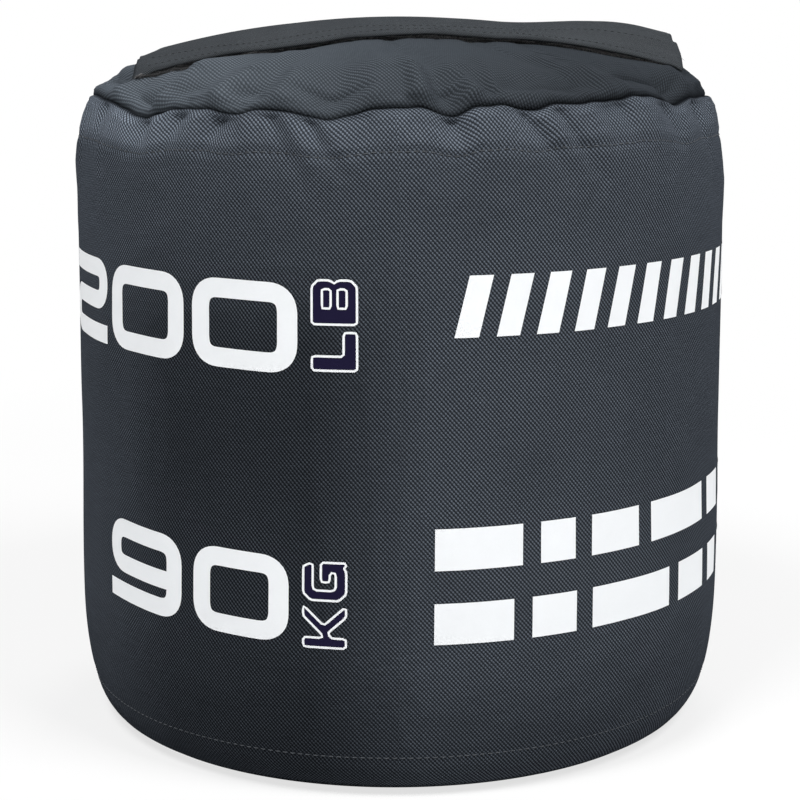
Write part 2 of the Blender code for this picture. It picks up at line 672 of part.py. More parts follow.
def make_filling(film, cord, sand, parts):
    """The liner with its gathered neck, the cord that ties it, and the sand."""
    wall = Outline(wall_points(LINER_CORNER_STEPS, LINER_WALL_STEPS))
    dome = Outline(dome_points(KNUCKLE_STEPS, LINER_CROWN_STEPS))
    seam = wall.bottom_seam(LINER_CORNER_STEPS)
    floor = FABRIC + GAP + LINER / 2
    side = 3 * FABRIC + 4 * GAP + LINER / 2
    clear = seam - FABRIC - 3 * GAP
    shoulder = wall.stations[-1] - ROLL_RADIUS * math.pi / 2 - LINER_SHOULDER_DROP
    path = wall.run(0.0, clear - LINER_EASE, floor) + wall.run(clear, shoulder, side)
    under = LINER_CLEARANCE - SLIDER_BOTTOM
    start = dome.at(dome.station_at_radius(LINER_DOME_RADIUS), under)
    low = path[-1]
    for i in range(1, LINER_CORNER_STEPS):
        turn = math.pi / 2 * i / LINER_CORNER_STEPS
        across, up = math.cos(turn), math.sin(turn)
        path.append((start[0] + (low[0] - start[0]) * across, low[1] + (start[1] - low[1]) * up))
    path += dome.run(dome.station_at_radius(LINER_DOME_RADIUS), dome.station_at_radius(DIP_RADIUS), under)
    rim, level = path[-1]
    dip_shares = ((0.72, 0.22), (0.45, 0.78), (0.28, 1.0))
    path += [(rim * across, level - DIP_DEPTH * down) for across, down in dip_shares]
    filled = offset(path, LINER / 2 + GAP)
    neck_shares = ((1.0, 0.8), (1.0, 0.42))
    path += [(NECK_RADIUS * across, level - DIP_DEPTH * down) for across, down in neck_shares]
    path.append((NECK_FLARE, level - LINER))
    turned("liner_bag", strip(path, LINER), film, parts)

    filled.append((0.0, filled[-1][1]))
    turned("sand_fill", filled[::-1], sand, parts)

    waist = level - DIP_DEPTH * sum(down for _, down in neck_shares) / len(neck_shares)
    ring = NECK_RADIUS + LINER / 2 + GAP + TIE_RADIUS
    circle = []
    for i in range(TUBE_STEPS):
        turn = -math.tau * i / TUBE_STEPS
        circle.append((ring + TIE_RADIUS * math.cos(turn), waist + TIE_RADIUS * math.sin(turn)))
    turned("liner_neck_tie", circle, cord, parts)


def main():
    clear_scene()
    parts = make_collection("sandbag_trainer")
    cutters = make_collection("cutters")
    cloth = look("black_nylon", (0.035, 0.037, 0.042), 0.62)
    lining_cloth = look("lining_nylon", (0.03, 0.03, 0.033), 0.7)
    webbing = look("webbing", (0.025, 0.025, 0.028), 0.75)
    tape = look("zip_tape", (0.02, 0.02, 0.022), 0.8)
    plastic = look("zip_plastic", (0.018, 0.018, 0.02), 0.4)
    metal = look("dark_metal", (0.16, 0.16, 0.17), 0.35, 1.0)
    hook = look("hook_strip", (0.02, 0.02, 0.02), 0.85)
    loop = look("loop_strip", (0.03, 0.03, 0.03), 0.95)
    film = look("liner_film", (0.32, 0.34, 0.36), 0.45)
    cord = look("tie_cord", (0.55, 0.52, 0.46), 0.8)
    sand = look("dry_sand", (0.56, 0.45, 0.31), 0.95)

    wall = Outline(wall_points(CORNER_STEPS, WALL_STEPS))
    dome = Outline(dome_points(KNUCKLE_STEPS, CROWN_STEPS))
    make_shell(wall, cloth, webbing, parts, cutters)
    make_top(wall, dome, cloth, parts, cutters)
    make_zip(tape, plastic, parts)
    cutters.objects.link(make_slider(metal, parts))
    make_flap(cloth, lining_cloth, hook, loop, parts)
    make_filling(film, cord, sand, parts)


main()
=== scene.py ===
"""Looks of the sandbag trainer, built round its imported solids.

Metres, +Z up. The bag stands on z = 0 with its axis on the Z axis, and its front faces -Y.
A heading is an angle round the bag from the front, positive to the right, in degrees.
Each sheet of cloth is first laid in the form that its solid has, and then carry() moves all
of them by one field of waves, pleats and creases, so that plies that touch stay together.
"""

import math

import bmesh
import bpy
import numpy as np
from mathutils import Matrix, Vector


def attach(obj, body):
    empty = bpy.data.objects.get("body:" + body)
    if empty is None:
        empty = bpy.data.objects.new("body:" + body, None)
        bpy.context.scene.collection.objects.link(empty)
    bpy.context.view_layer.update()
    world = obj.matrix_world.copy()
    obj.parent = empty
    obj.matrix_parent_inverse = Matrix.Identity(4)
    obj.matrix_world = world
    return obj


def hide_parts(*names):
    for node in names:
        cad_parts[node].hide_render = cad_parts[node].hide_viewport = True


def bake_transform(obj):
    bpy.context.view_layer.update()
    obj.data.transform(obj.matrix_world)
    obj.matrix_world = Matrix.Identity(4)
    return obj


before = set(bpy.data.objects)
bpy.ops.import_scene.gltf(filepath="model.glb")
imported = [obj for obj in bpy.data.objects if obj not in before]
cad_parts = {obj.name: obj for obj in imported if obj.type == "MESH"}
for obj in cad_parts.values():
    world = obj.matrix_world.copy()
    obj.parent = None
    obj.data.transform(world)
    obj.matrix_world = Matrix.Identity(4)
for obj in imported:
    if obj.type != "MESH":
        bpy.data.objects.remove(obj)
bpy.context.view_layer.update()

MM = 0.001

# Cloth and how it is sewn
FABRIC = 0.0012
GAP = 0.0003
ALLOWANCE = 0.012
WEBBING = 0.0015
WEBBING_WIDTH = 0.015
SEAM_TAPE_WIDTH = 0.025

# The bag's outline: the wall up to its rolled edge, then the domed top from its seam
BELLY_RADIUS = 0.211
BELLY_HEIGHT = 0.088
BASE_RADIUS = 0.177
CORNER_POWER = 2.65
BOTTOM_SEAM_SHARE = 0.17
WAIST = (0.2085, 0.200)
SHOULDER = (0.206, 0.350)
ROLL_CENTRE = 0.19665
ROLL_HEIGHT = 0.3835
ROLL_RADIUS = 0.0075
SEAM_RADIUS = 0.195
SEAM_HEIGHT = 0.391
KNUCKLE_RADIUS = 0.0185
DOME_RISE = 0.045
CREST = SEAM_HEIGHT + DOME_RISE
CROWN_RADIUS = (SEAM_RADIUS ** 2 - 2 * SEAM_RADIUS * KNUCKLE_RADIUS + DOME_RISE ** 2) / (
    2 * (DOME_RISE - KNUCKLE_RADIUS)
)
CROWN_CENTRE = CREST - CROWN_RADIUS
TOPSTITCH_HEIGHT = 0.3685
LOW_STITCH_HEIGHT = 0.0255

# Zip, and the cover flap over it
ZIP_HALF_OPENING = 0.007
CHAIN_HALF = 0.150
TAPE = 0.0008
TAPE_TOP = -0.0017
TAPE_NEAR = 0.0033
TAPE_WIDTH = 0.014
TAB_WIDTH = 0.040
TAB_START = 0.152
FLAP_FRONT = 0.092
FLAP_HINGE = 0.030
FLAP_HALF = 0.170
HEM_BACK = 0.0461
TUNNEL_HALF = 0.014
TUNNEL_LEVEL = 0.0053
STACK_LEVEL = 0.0029
LINING = 0.0006
COVER = 0.0010
COVER_LEVEL = LINING + GAP + COVER / 2
STRIP = 0.0010
STRIP_WIDTH = 0.025
STRIP_FRONT = -FLAP_FRONT + 0.0032
STRIP_HALF = 0.160

# Liner
LINER = 0.0008
LINER_SHOULDER_HEIGHT = 0.356
LINER_DOME_RADIUS = 0.165
LINER_UNDER = 0.0085
DIP_RADIUS = 0.048
DIP_DEPTH = 0.024
NECK_RADIUS = 0.009
NECK_FLARE = 0.022

# The upright seam at the back: how far its rows of stitches lie from its line
BACK_STITCH = 0.0055

# How finely the sheets are divided
WALL_COLUMNS = 640
DOME_COLUMNS = 512
STEP = 0.0035
FINE_STEP = 0.0016
BAND_STEP = 0.0025
# How far from the seam the wall and the top are finely divided
FINE_DROP = 0.055
FINE_REACH = 0.060


def smooth(value, start, end):
    """From 0 at start to 1 at end, eased at both."""
    share = np.clip((np.asarray(value, float) - start) / (end - start), 0.0, 1.0)
    return share * share * (3 - 2 * share)


def bell(distance, width):
    return np.exp(-((np.asarray(distance, float) / width) ** 2))


def read(table, place):
    """The value of a table of (place, value) pairs at some places, by straight steps."""
    return np.interp(place, *np.transpose(table))


def run_along(path):
    """The length run from a path's start to each of its points."""
    return np.concatenate([[0.0], np.cumsum(np.linalg.norm(np.diff(path, axis=0), axis=1))])


def points_from(*axes):
    """Points from their coordinates, each an array or a single number."""
    return np.column_stack([axis.ravel() for axis in np.broadcast_arrays(*axes)])


def along_path(place, run, points):
    """What a path's points give at some lengths along it."""
    return np.column_stack([np.interp(place, run, axis) for axis in points.T])


def unit(vectors):
    return vectors / np.linalg.norm(vectors, axis=-1, keepdims=True)


def round_turns(count):
    """Even turns round a circle."""
    return math.tau * np.arange(count) / count


def on_arc(middle, level, radius, turn):
    """A point of an arc of radius and height, at a turn up from its outermost point."""
    return middle + radius * math.cos(turn), level + radius * math.sin(turn)


def around(heading, centre):
    """The angle from a centre heading, the short way round."""
    return (np.asarray(heading, float) - centre + 180) % 360 - 180


class Profile:
    """A curve of radius and height, read by the run along it, with the outside on its right."""

    def __init__(self, points):
        self.points = np.array(points, float)
        self.run = run_along(self.points)
        self.length = self.run[-1]
        tangent = unit(np.gradient(self.points, self.run, axis=0))
        self.normal = points_from(tangent[:, 1], -tangent[:, 0])

    def at(self, station, depth=0.0):
        """The points at some stations and a depth under the outside."""
        inward = along_path(station, self.run, self.normal) * depth
        return along_path(station, self.run, self.points) - inward

    def path(self, start, end, depth=0.0, step=STEP):
        count = max(2, round(abs(end - start) / step) + 1)
        return self.at(np.linspace(start, end, count), depth)

    def station_at_height(self, height):
        """Where a curve that only climbs passes a height."""
        return float(np.interp(height, self.points[:, 1], self.run))

    def station_at_radius(self, radius):
        """Where a curve that runs in to the axis passes a radius."""
        return float(np.interp(-radius, -self.points[:, 0], self.run))


def eased(low, high, count=40):
    """Points that ease from one place to another, upright at both ends, without the first."""
    share = np.linspace(0, 1, count + 1)[1:]
    ease = (1 - np.cos(np.pi * share)) / 2
    across, up = high[0] - low[0], high[1] - low[1]
    return [(low[0] + across * e, low[1] + up * s) for s, e in zip(share, ease)]


def wall_profile():
    """From the middle of the floor to the fold at the top of the wall."""
    turns = np.linspace(0, math.pi / 2, 90)
    reach = BELLY_RADIUS - BASE_RADIUS
    across = BASE_RADIUS + reach * np.sin(turns) ** (2 / CORNER_POWER)
    up = BELLY_HEIGHT * (1 - np.cos(turns) ** (2 / CORNER_POWER))
    points = [(0.0, 0.0)] + list(zip(across, up))
    points += eased((BELLY_RADIUS, BELLY_HEIGHT), WAIST)
    points += eased(WAIST, SHOULDER)
    points += eased(SHOULDER, (ROLL_CENTRE + ROLL_RADIUS, ROLL_HEIGHT), 12)
    for turn in np.linspace(0, math.pi / 2, 12)[1:]:
        points.append(on_arc(ROLL_CENTRE, ROLL_HEIGHT, ROLL_RADIUS, turn))
    return Profile(points)


def dome_profile():
    """From the seam round the top's edge and in to the crest."""
    knuckle = SEAM_RADIUS - KNUCKLE_RADIUS
    meeting = math.asin(knuckle / (CROWN_RADIUS - KNUCKLE_RADIUS))
    points = []
    for turn in np.linspace(0, math.pi / 2 - meeting, 24)[:-1]:
        points.append(on_arc(knuckle, SEAM_HEIGHT, KNUCKLE_RADIUS, turn))
    for turn in np.linspace(meeting, 0, 60):
        points.append((CROWN_RADIUS * math.sin(turn), CROWN_CENTRE + CROWN_RADIUS * math.cos(turn)))
    return Profile(points)


WALL = wall_profile()
DOME = dome_profile()
WALL_TOP = WALL.length
CORNER_START = BASE_RADIUS
CORNER_LENGTH = WALL.station_at_height(BELLY_HEIGHT) - CORNER_START
BOTTOM_SEAM = CORNER_START + CORNER_LENGTH * BOTTOM_SEAM_SHARE
LOW_FOLD = BOTTOM_SEAM + FABRIC + GAP


class Waves:
    """Seeded smooth noise round the bag, closed on itself, from -1 to 1 or so."""

    def __init__(self, seed, rounds, climb, count):
        source = np.random.default_rng(seed)
        self.rounds = source.integers(rounds[0], rounds[1], count)
        self.climb = source.uniform(-climb, climb, count)
        self.phase = source.uniform(0, math.tau, count)
        self.height = source.uniform(0.5, 1.0, count)

    def at(self, heading, height):
        total = np.zeros(np.broadcast(heading, height).shape)
        turn = np.radians(heading)
        for rounds, climb, phase, size in zip(self.rounds, self.climb, self.phase, self.height):
            total = total + size * np.sin(rounds * turn + climb * height + phase)
        return total / math.sqrt(len(self.rounds))


# How far the filled cloth stands out from its plain form near the seam: (height, step), and for the
# top (length in from the seam, step)
SHOULDER_SHAPE = (
    (0.345, 0.0), (0.360, -0.0003), (0.3727, -0.0006), (0.3765, -0.0012), (0.3802, -0.0018),
    (0.3840, -0.0031), (0.3877, -0.0032), (0.3900, -0.0008), (0.3910, 0.0006),
)
DOME_SHAPE = (
    (0.0, 0.0006), (0.0015, 0.0014), (0.004, -0.0010), (0.0075, -0.0038), (0.0105, -0.0047),
    (0.016, -0.0034), (0.024, -0.0008), (0.030, 0.0),
)
# How far the bag leans to the right at each height, and how far its lower front edge bulges
SWAY = (
    (0.0, -0.0030), (0.10, -0.0016), (0.20, -0.0004), (0.34, 0.0), (0.375, -0.0016),
    (0.395, -0.0025), (0.42, -0.0016), (0.436, 0.0),
)
LOW_BULGE = 0.0042
# How far the seam and the cloth round it draw in at the left, with the half width in degrees
DRAW_IN = 0.0036
DRAW_HEADING = -82
DRAW_WIDTH = 24

# Waves of the seam under the top: (heading, drop in mm, half width in degrees). Then pleats in the wall
# under it and in the top: (heading, depth in mm, half width in degrees, length in mm, drift in degrees).
SEAM_DIPS = (
    (-72, -6.0, 14), (-47.5, 6.0, 6.0), (-27, 3.0, 4.0), (-11, 6.0, 6.0), (8.5, 5.5, 3.0), (22, 3.0, 3.0),
    (44, -2.8, 6.0), (55.5, 3.6, 3.6),
    (88, 4.0, 6.0), (112, 3.0, 4.0), (131, 5.0, 5.0), (158, 3.5, 4.0), (-176, 4.5, 6.0), (-151, 3.0, 4.0),
    (-128, 5.0, 5.0), (-104, 3.5, 4.0),
)
WALL_PLEATS = (
    (-61, 3.4, 2.2, 30, -3), (-52.5, -2.6, 3.6, 38, -2), (-46, 2.6, 1.6, 36, -2), (-41.5, -1.8, 2.0, 34, -6),
    (-37.0, 2.6, 1.3, 30, -4), (-33, -2.2, 1.8, 34, -7), (-28.6, 3.4, 1.3, 34, -5), (-25, -1.4, 1.6, 32, 2),
    (-20.5, 1.8, 1.2, 38, 6), (-17.4, -1.7, 1.2, 40, 6), (-14.2, 2.2, 1.2, 40, 7), (-10.4, -1.5, 1.6, 34, 2),
    (-4.5, 1.0, 1.2, 22, 1), (-0.5, -1.2, 2.2, 30, 0), (8.6, 4.4, 1.7, 19, 0.4), (13.2, -1.8, 2.0, 32, 1),
    (19.6, 2.4, 1.2, 46, 9), (22.8, -1.9, 1.2, 44, 9), (25.8, 2.0, 1.1, 42, 8), (31.5, -1.5, 2.0, 38, 6),
    (38.5, 1.5, 1.6, 34, 6), (44, -1.8, 2.2, 36, 4), (50.5, 2.2, 1.5, 30, 4), (56, -1.4, 2.0, 32, 2),
    (62.5, 3.2, 1.5, 26, 1), (69, -1.6, 2.2, 30, 0),
)
DOME_PLEATS = (
    (-66, 1.6, 2.4, 30, 3), (-58, -2.4, 2.6, 46, 3), (-50, 3.0, 2.6, 54, 8), (-44, -2.4, 2.2, 70, 10),
    (-37.5, 2.0, 2.2, 78, 12), (-31, -2.4, 2.2, 74, 12), (-25.5, 2.2, 2.0, 62, 9), (-19.5, -1.6, 2.0, 46, 4),
    (-12, 3.0, 2.6, 40, 3), (-3.5, -2.2, 3.0, 44, -2), (4.4, -2.6, 1.4, 58, -4), (8.2, 3.2, 1.4, 60, -4.5),
    (12.4, -2.4, 1.6, 46, -2), (17.0, 2.2, 1.1, 34, -5), (22, -1.6, 2.4, 34, 2), (31, 1.2, 2.0, 30, 4),
    (38, -1.4, 3.0, 34, 0), (47, 1.0, 2.4, 30, -4), (55.5, 2.8, 2.2, 30, 0), (64, -1.6, 3.0, 36, 0),
)

# How much deeper than in the tables the pleats are laid, in the wall and in the top
WALL_STRENGTH = 1.75
DOME_STRENGTH = 1.3 * WALL_STRENGTH
# Depths of the grooves along the stitches, and heights of the seeded ripples
TOPSTITCH_GROOVE = 0.0009
LOW_GROOVE = 0.0006
BACK_GROOVE = 0.0011
BROAD_RIPPLE = 0.0010
MIDDLING_RIPPLE = 0.0004
TOP_RIPPLE = 0.0011
FLAP_WAVE = 0.00045

# The folds fade to none near the zip and under the flap: (none, full) distances to the front of the
# zip and to its rear, and radii past which they are full all round
FREE_FRONT = (0.066, 0.116)
FREE_REAR = (0.044, 0.075)
FREE_RIM = (0.174, 0.184)
# How far the seam's waves reach into the top and down the wall, and what share of a climb counts there
TOP_GRIP = 0.055
WALL_GRIP = 0.05
CLIMB_SHARE = 0.6


def seeded_pleats(seed, first, last, count, depth, length):
    """More pleats, for the part of the seam that the photograph doesn't show."""
    source = np.random.default_rng(seed)
    found = []
    for place in np.linspace(first, last, count):
        found.append((
            place + source.uniform(-4, 4), source.uniform(-0.6, 1.0) * depth, source.uniform(1.0, 2.4),
            source.uniform(0.5, 1.0) * length, source.uniform(-6, 6),
        ))
    return tuple(found)


WALL_PLEATS += seeded_pleats(3, 76, 284, 26, 2.4, 48)
DOME_PLEATS += seeded_pleats(4, 76, 284, 24, 2.4, 60)
BROAD = Waves(11, (2, 7), 14, 9)
MIDDLING = Waves(12, (7, 22), 60, 14)
PUCKER = Waves(13, (34, 96), 90, 18)
STITCH_PUCKER = Waves(14, (90, 170), 30, 10)

# Simulated part of the folds: a band of the filled cloth with some slack, held at the seam, from a
# height on the wall to a radius on the top, with its pressure, its count of frames and its highest fold
SIM_COLUMNS = 320
SIM_STEP = 0.004
SIM_FOOT = 0.306
SIM_INNER = 0.075
SIM_SLACK = 0.035
SIM_PRESSURE = 3.0
SIM_FRAMES = 20
SIM_CAP = 0.0035
SIM_CLOTH = {
    "quality": 6, "mass": 0.2, "tension_stiffness": 25, "compression_stiffness": 25, "shear_stiffness": 8,
    "bending_stiffness": 0.25, "use_pressure": True, "uniform_pressure_force": SIM_PRESSURE,
    "shrink_min": -SIM_SLACK, "vertex_group_mass": "held",
}
wrinkles = {}


def wrinkle(part, heading, place):
    """The simulated fold's height at a heading and a place across the band, by straight steps."""
    if part not in wrinkles:
        return 0.0
    places, grid = wrinkles[part]
    row = np.clip(np.interp(place, places, np.arange(len(places))), 0, len(places) - 1.001)
    column = (np.asarray(heading, float) % 360) / 360 * SIM_COLUMNS
    low, left = row.astype(int), column.astype(int) % SIM_COLUMNS
    up, across = row - low, column % 1
    right = (left + 1) % SIM_COLUMNS
    lower = grid[low, left] * (1 - across) + grid[low, right] * across
    upper = grid[low + 1, left] * (1 - across) + grid[low + 1, right] * across
    return lower * (1 - up) + upper * up


def simulate_cloth():
    """Lets a slack band of cloth round the seam fill out under pressure, and keeps how it folds."""
    wall = WALL.path(WALL.station_at_height(SIM_FOOT), WALL_TOP, FABRIC / 2, SIM_STEP)
    top = DOME.path(0.0, DOME.station_at_radius(SIM_INNER), FABRIC / 2, SIM_STEP)
    path = np.concatenate([wall, top])
    points = carry(swept(path, round_turns(SIM_COLUMNS)))
    faces, _, _ = grid_faces(len(path), SIM_COLUMNS, True)
    band = add_mesh("simulated_band", points, faces)
    held = band.vertex_groups.new(name="held")
    for row in (0, len(wall) - 1, len(wall), len(path) - 1):
        held.add(list(range(row * SIM_COLUMNS, (row + 1) * SIM_COLUMNS)), 1.0, "REPLACE")
    cloth = band.modifiers.new("Cloth", "CLOTH")
    for setting, value in SIM_CLOTH.items():
        setattr(cloth.settings, setting, value)
    cloth.settings.effector_weights.gravity = 0
    cloth.collision_settings.use_collision = False
    cloth.point_cache.frame_end = SIM_FRAMES
    scene = bpy.context.scene
    for step in range(1, SIM_FRAMES + 1):
        scene.frame_set(step)
    filled = band.evaluated_get(bpy.context.evaluated_depsgraph_get()).data
    moved = np.zeros(len(points) * 3)
    filled.vertices.foreach_get("co", moved)
    normal = np.zeros(len(points) * 3)
    band.data.vertices.foreach_get("normal", normal)
    push = ((moved.reshape(-1, 3) - points) * normal.reshape(-1, 3)).sum(axis=1)
    push = push.reshape(len(path), SIM_COLUMNS)
    push = np.clip(push - push.mean(axis=1, keepdims=True), -SIM_CAP, SIM_CAP)
    inward = np.hypot(SEAM_RADIUS - top[:, 0], np.clip(top[:, 1] - SEAM_HEIGHT, 0, None) * CLIMB_SHARE)
    wrinkles["wall"] = (wall[:, 1], push[:len(wall)])
    wrinkles["top"] = (inward, push[len(wall):])
    bpy.data.objects.remove(band)
    scene.frame_set(1)


def seam_lift(heading):
    """How far the seam under the top stands over its level at each heading."""
    lift = 0.0012 + 0.0018 * np.sin(np.radians(heading)) + 0.0006 * PUCKER.at(heading, 0)
    for place, drop, width in SEAM_DIPS:
        lift = lift - MM * drop * bell(around(heading, place), width)
    return lift


def pleats(table, strength, heading, below):
    """The sum of the pleats of a table at a heading and a length from the seam."""
    push = 0.0
    for place, depth, width, length, drift in table:
        along = np.clip(below / MM / length, 0, 1)
        spread = width * (1 + 0.7 * along)
        shape = bell(around(heading, place + drift * along), spread)
        push = push - MM * strength * depth * shape * (1 - along) ** 1.2
    return push


def wall_push(heading, height):
    """How far the wall's cloth stands out from its plain form."""
    below = np.clip(SEAM_HEIGHT - height, 0, None)
    start = smooth(below, 0.0, 0.005)
    push = read(SHOULDER_SHAPE, height) + start * pleats(WALL_PLEATS, WALL_STRENGTH, heading, below)
    push = push + 0.0004 * start * np.exp(-below / 0.018) * PUCKER.at(heading, height)
    push = push - TOPSTITCH_GROOVE * bell(height - TOPSTITCH_HEIGHT, 0.0028)
    push = push + 0.00022 * bell(height - TOPSTITCH_HEIGHT, 0.006) * STITCH_PUCKER.at(heading, 0)
    ripple = BROAD_RIPPLE * BROAD.at(heading, height) + MIDDLING_RIPPLE * MIDDLING.at(heading, height)
    push = push + smooth(height, 0.004, 0.06) * start * ripple
    push = push - LOW_GROOVE * bell(height - LOW_STITCH_HEIGHT, 0.003)
    beside = np.radians(around(heading, 180)) * BELLY_RADIUS
    push = push - BACK_GROOVE * bell(beside, 0.0022) + 0.0005 * bell(np.abs(beside) - BACK_STITCH, 0.003)
    return push + 0.7 * smooth(height, 0.308, 0.345) * wrinkle("wall", heading, height)


def dome_push(heading, radius, inward):
    """How far the top's cloth stands out from its plain form."""
    start = smooth(inward, 0.0, 0.006)
    push = read(DOME_SHAPE, inward) + start * pleats(DOME_PLEATS, DOME_STRENGTH, heading, inward)
    push = push + 0.0003 * start * np.exp(-inward / 0.03) * PUCKER.at(heading, inward)
    push = push + TOP_RIPPLE * start * MIDDLING.at(heading, inward * 2) * smooth(radius, 0.02, 0.12)
    return push + wrinkle("top", heading, inward)


def field(points):
    """The step that the field of folds gives to each of some points of the bag."""
    x, y, z = points.T
    radius = np.hypot(x, y)
    heading = np.degrees(np.arctan2(x, -y))
    knuckle = SEAM_RADIUS - KNUCKLE_RADIUS
    climb = np.clip(z - SEAM_HEIGHT, 0, None)
    inward = np.hypot(np.clip(SEAM_RADIUS - radius, 0, None), climb * CLIMB_SHARE)
    below = np.clip(SEAM_HEIGHT - z, 0, None)
    on_top = (z > SEAM_HEIGHT - 0.0005) | ((radius < knuckle) & (z > SHOULDER[1]))
    on_knuckle = np.arctan2(climb, radius - knuckle + 1e-9)
    lean = np.where(radius > knuckle, on_knuckle, np.arctan2(z - CROWN_CENTRE, radius))
    lean = np.where(on_top, lean, 0.0)
    free = np.where(y < 0, smooth(-y, *FREE_FRONT), smooth(y, *FREE_REAR))
    free = np.maximum(free, smooth(radius, *FREE_RIM))
    push = np.where(on_top, dome_push(heading, radius, inward) * free, wall_push(heading, z))
    grip = np.where(on_top, 1 - smooth(inward, 0.0, TOP_GRIP), 1 - smooth(below, 0.0, WALL_GRIP))
    rise = seam_lift(heading) * grip
    turn = np.radians(heading)
    sway = read(SWAY, z) * smooth(radius, 0.05, 0.15) * np.where(on_top, free, 1.0)
    front = smooth(np.cos(turn), -0.1, 0.9) * smooth(radius, 0.10, 0.17)
    near_seam = np.where(on_top, 1 - smooth(inward, 0.004, 0.034), smooth(z, 0.366, 0.388))
    out = push * np.cos(lean) + LOW_BULGE * bell(z - 0.006, 0.024) * front
    out = out - DRAW_IN * bell(around(heading, DRAW_HEADING), DRAW_WIDTH) * near_seam
    return points_from(out * np.sin(turn) + sway, -out * np.cos(turn), push * np.sin(lean) + rise)


def carry(points):
    """The points of a sheet, moved from its plain form to its folds."""
    points = np.asarray(points, float)
    return points + field(points)


# Painted light and shade in the cloth's colour, as shares of its full shade: painted shade at each heading of
# the wall, how strongly that counts at each height, painted light at each x of the top (lighter at the left,
# darker at the right) and painted shade at each height of the wall's foot.
# Then a painted highlight on the wall over its topstitching, where it slopes in under the seam, stronger at
# the left.
WALL_PAINTED_SHADE = (
    (-180, 0.93), (-95, 0.84), (-62, 0.80), (-50, 0.67), (-40, 0.46), (-14, 0.44), (-5, 0.67),
    (4, 0.95), (30, 0.93), (60, 0.79), (180, 0.93),
)
WALL_SHADE_STRENGTH = ((0.0, 0.85), (0.05, 1.0), (0.265, 1.0), (0.315, 0.25), (0.36, 0.0))
TOP_PAINTED_LIGHT = (
    (-0.20, 1.05), (-0.10, 0.98), (-0.05, 0.76), (0.0, 0.63), (0.03, 0.55), (0.10, 0.40), (0.20, 0.40),
)
FOOT_PAINTED_SHADE = ((0.0, 0.55), (0.03, 0.70), (0.09, 1.0))
BAND_PAINTED_HIGHLIGHT = 0.35
LEFT_BAND_PAINTED_HIGHLIGHT = 0.85
# How dark the painted shadow in the crease at the seam is, and how wide
CREASE_PAINTED_SHADOW = 0.78
CREASE_SHADOW_WIDTH = 0.0032


def painted_light(points):
    """The share of the cloth's full shade that some places have: painted light and shade, with a painted
    shadow along the seam's crease.
    """
    x, y, z = np.asarray(points, float).T
    heading = np.degrees(np.arctan2(x, -y))
    # Painted highlight on the band over the topstitching, stronger at the left
    left = smooth(heading, -88, -70) * (1 - smooth(heading, -46, -24))
    band = 1 + (BAND_PAINTED_HIGHLIGHT + LEFT_BAND_PAINTED_HIGHLIGHT * left) * smooth(z, 0.362, 0.378)
    # Painted shade by heading and at the wall's foot
    wall = (1.0 + (read(WALL_PAINTED_SHADE, heading) - 1.0) * read(WALL_SHADE_STRENGTH, z)) * read(FOOT_PAINTED_SHADE, z) * band
    from_seam = np.hypot(np.hypot(x, y) - SEAM_RADIUS - MM, z - SEAM_HEIGHT)
    # Painted shadow along the groove of the seam
    crease = 1 - CREASE_PAINTED_SHADOW * bell(from_seam, CREASE_SHADOW_WIDTH)
    return np.where(z > SEAM_HEIGHT - MM, read(TOP_PAINTED_LIGHT, x), wall) * crease


def add_object(name, data):
    thing = bpy.data.objects.new(name, data)
    bpy.context.scene.collection.objects.link(thing)
    return thing


def add_mesh(name, points, faces, thread=None, laid=None):
    """A shown mesh. Thread gives each face corner its place in the flat cloth, in metres, and laid
    gives the points before the folds, which set the painted light and shade."""
    mesh = bpy.data.meshes.new(name)
    mesh.from_pydata([tuple(p) for p in points], [], [tuple(f) for f in faces])
    if thread is not None:
        attribute = mesh.attributes.new("thread", "FLOAT_VECTOR", "CORNER")
        flat = np.zeros((len(mesh.loops), 3), np.float32)
        flat[:, :2] = thread
        corners = np.concatenate([np.asarray(face) for face in faces])
        # The third place holds each corner's painted light and shade
        flat[:, 2] = painted_light(points if laid is None else laid)[corners]
        attribute.data.foreach_set("vector", flat.ravel())
    mesh.shade_smooth()
    return add_object(name, mesh)


def grid_faces(rows, columns, closed):
    """Faces of a grid of points, row by row, and the row and column of each face's corners."""
    last = columns if closed else columns - 1
    row, column = np.meshgrid(np.arange(rows - 1), np.arange(last), indexing="ij")
    row, column = row.ravel(), column.ravel()
    rows_of = np.column_stack([row, row, row + 1, row + 1])
    columns_of = np.column_stack([column, column + 1, column + 1, column])
    return rows_of * columns + columns_of % columns, rows_of, columns_of


def thicken(piece, thickness):
    solid = piece.modifiers.new("Thickness", "SOLIDIFY")
    solid.thickness = thickness
    solid.offset = 0.0
    return piece


def swept(path, turns):
    """The points of a path of radius and height, row by row, swept through some headings in radians."""
    return points_from(path[:, :1] * np.sin(turns), -path[:, :1] * np.cos(turns), path[:, 1:])


def patch(name, path, turns, thickness, closed=False, flat_top=False):
    """A sheet swept from a path of radius and height, carried by the folds."""
    path = np.asarray(path, float)
    points = swept(path, turns)
    faces, rows_of, columns_of = grid_faces(len(path), len(turns), closed)
    run, angle = run_along(path), np.append(turns, math.tau)[columns_of]
    if flat_top:
        from_crest = (run[-1] - run)[rows_of]
        thread = points_from(from_crest * np.sin(angle), -from_crest * np.cos(angle))
    else:
        thread = points_from(BELLY_RADIUS * angle, run[rows_of])
    return thicken(add_mesh(name, carry(points), faces, thread, points), thickness)


def turned(name, path, columns, thickness, flat_top=False):
    """A sheet that goes all the way round the bag."""
    return patch(name, path, round_turns(columns), thickness, True, flat_top)


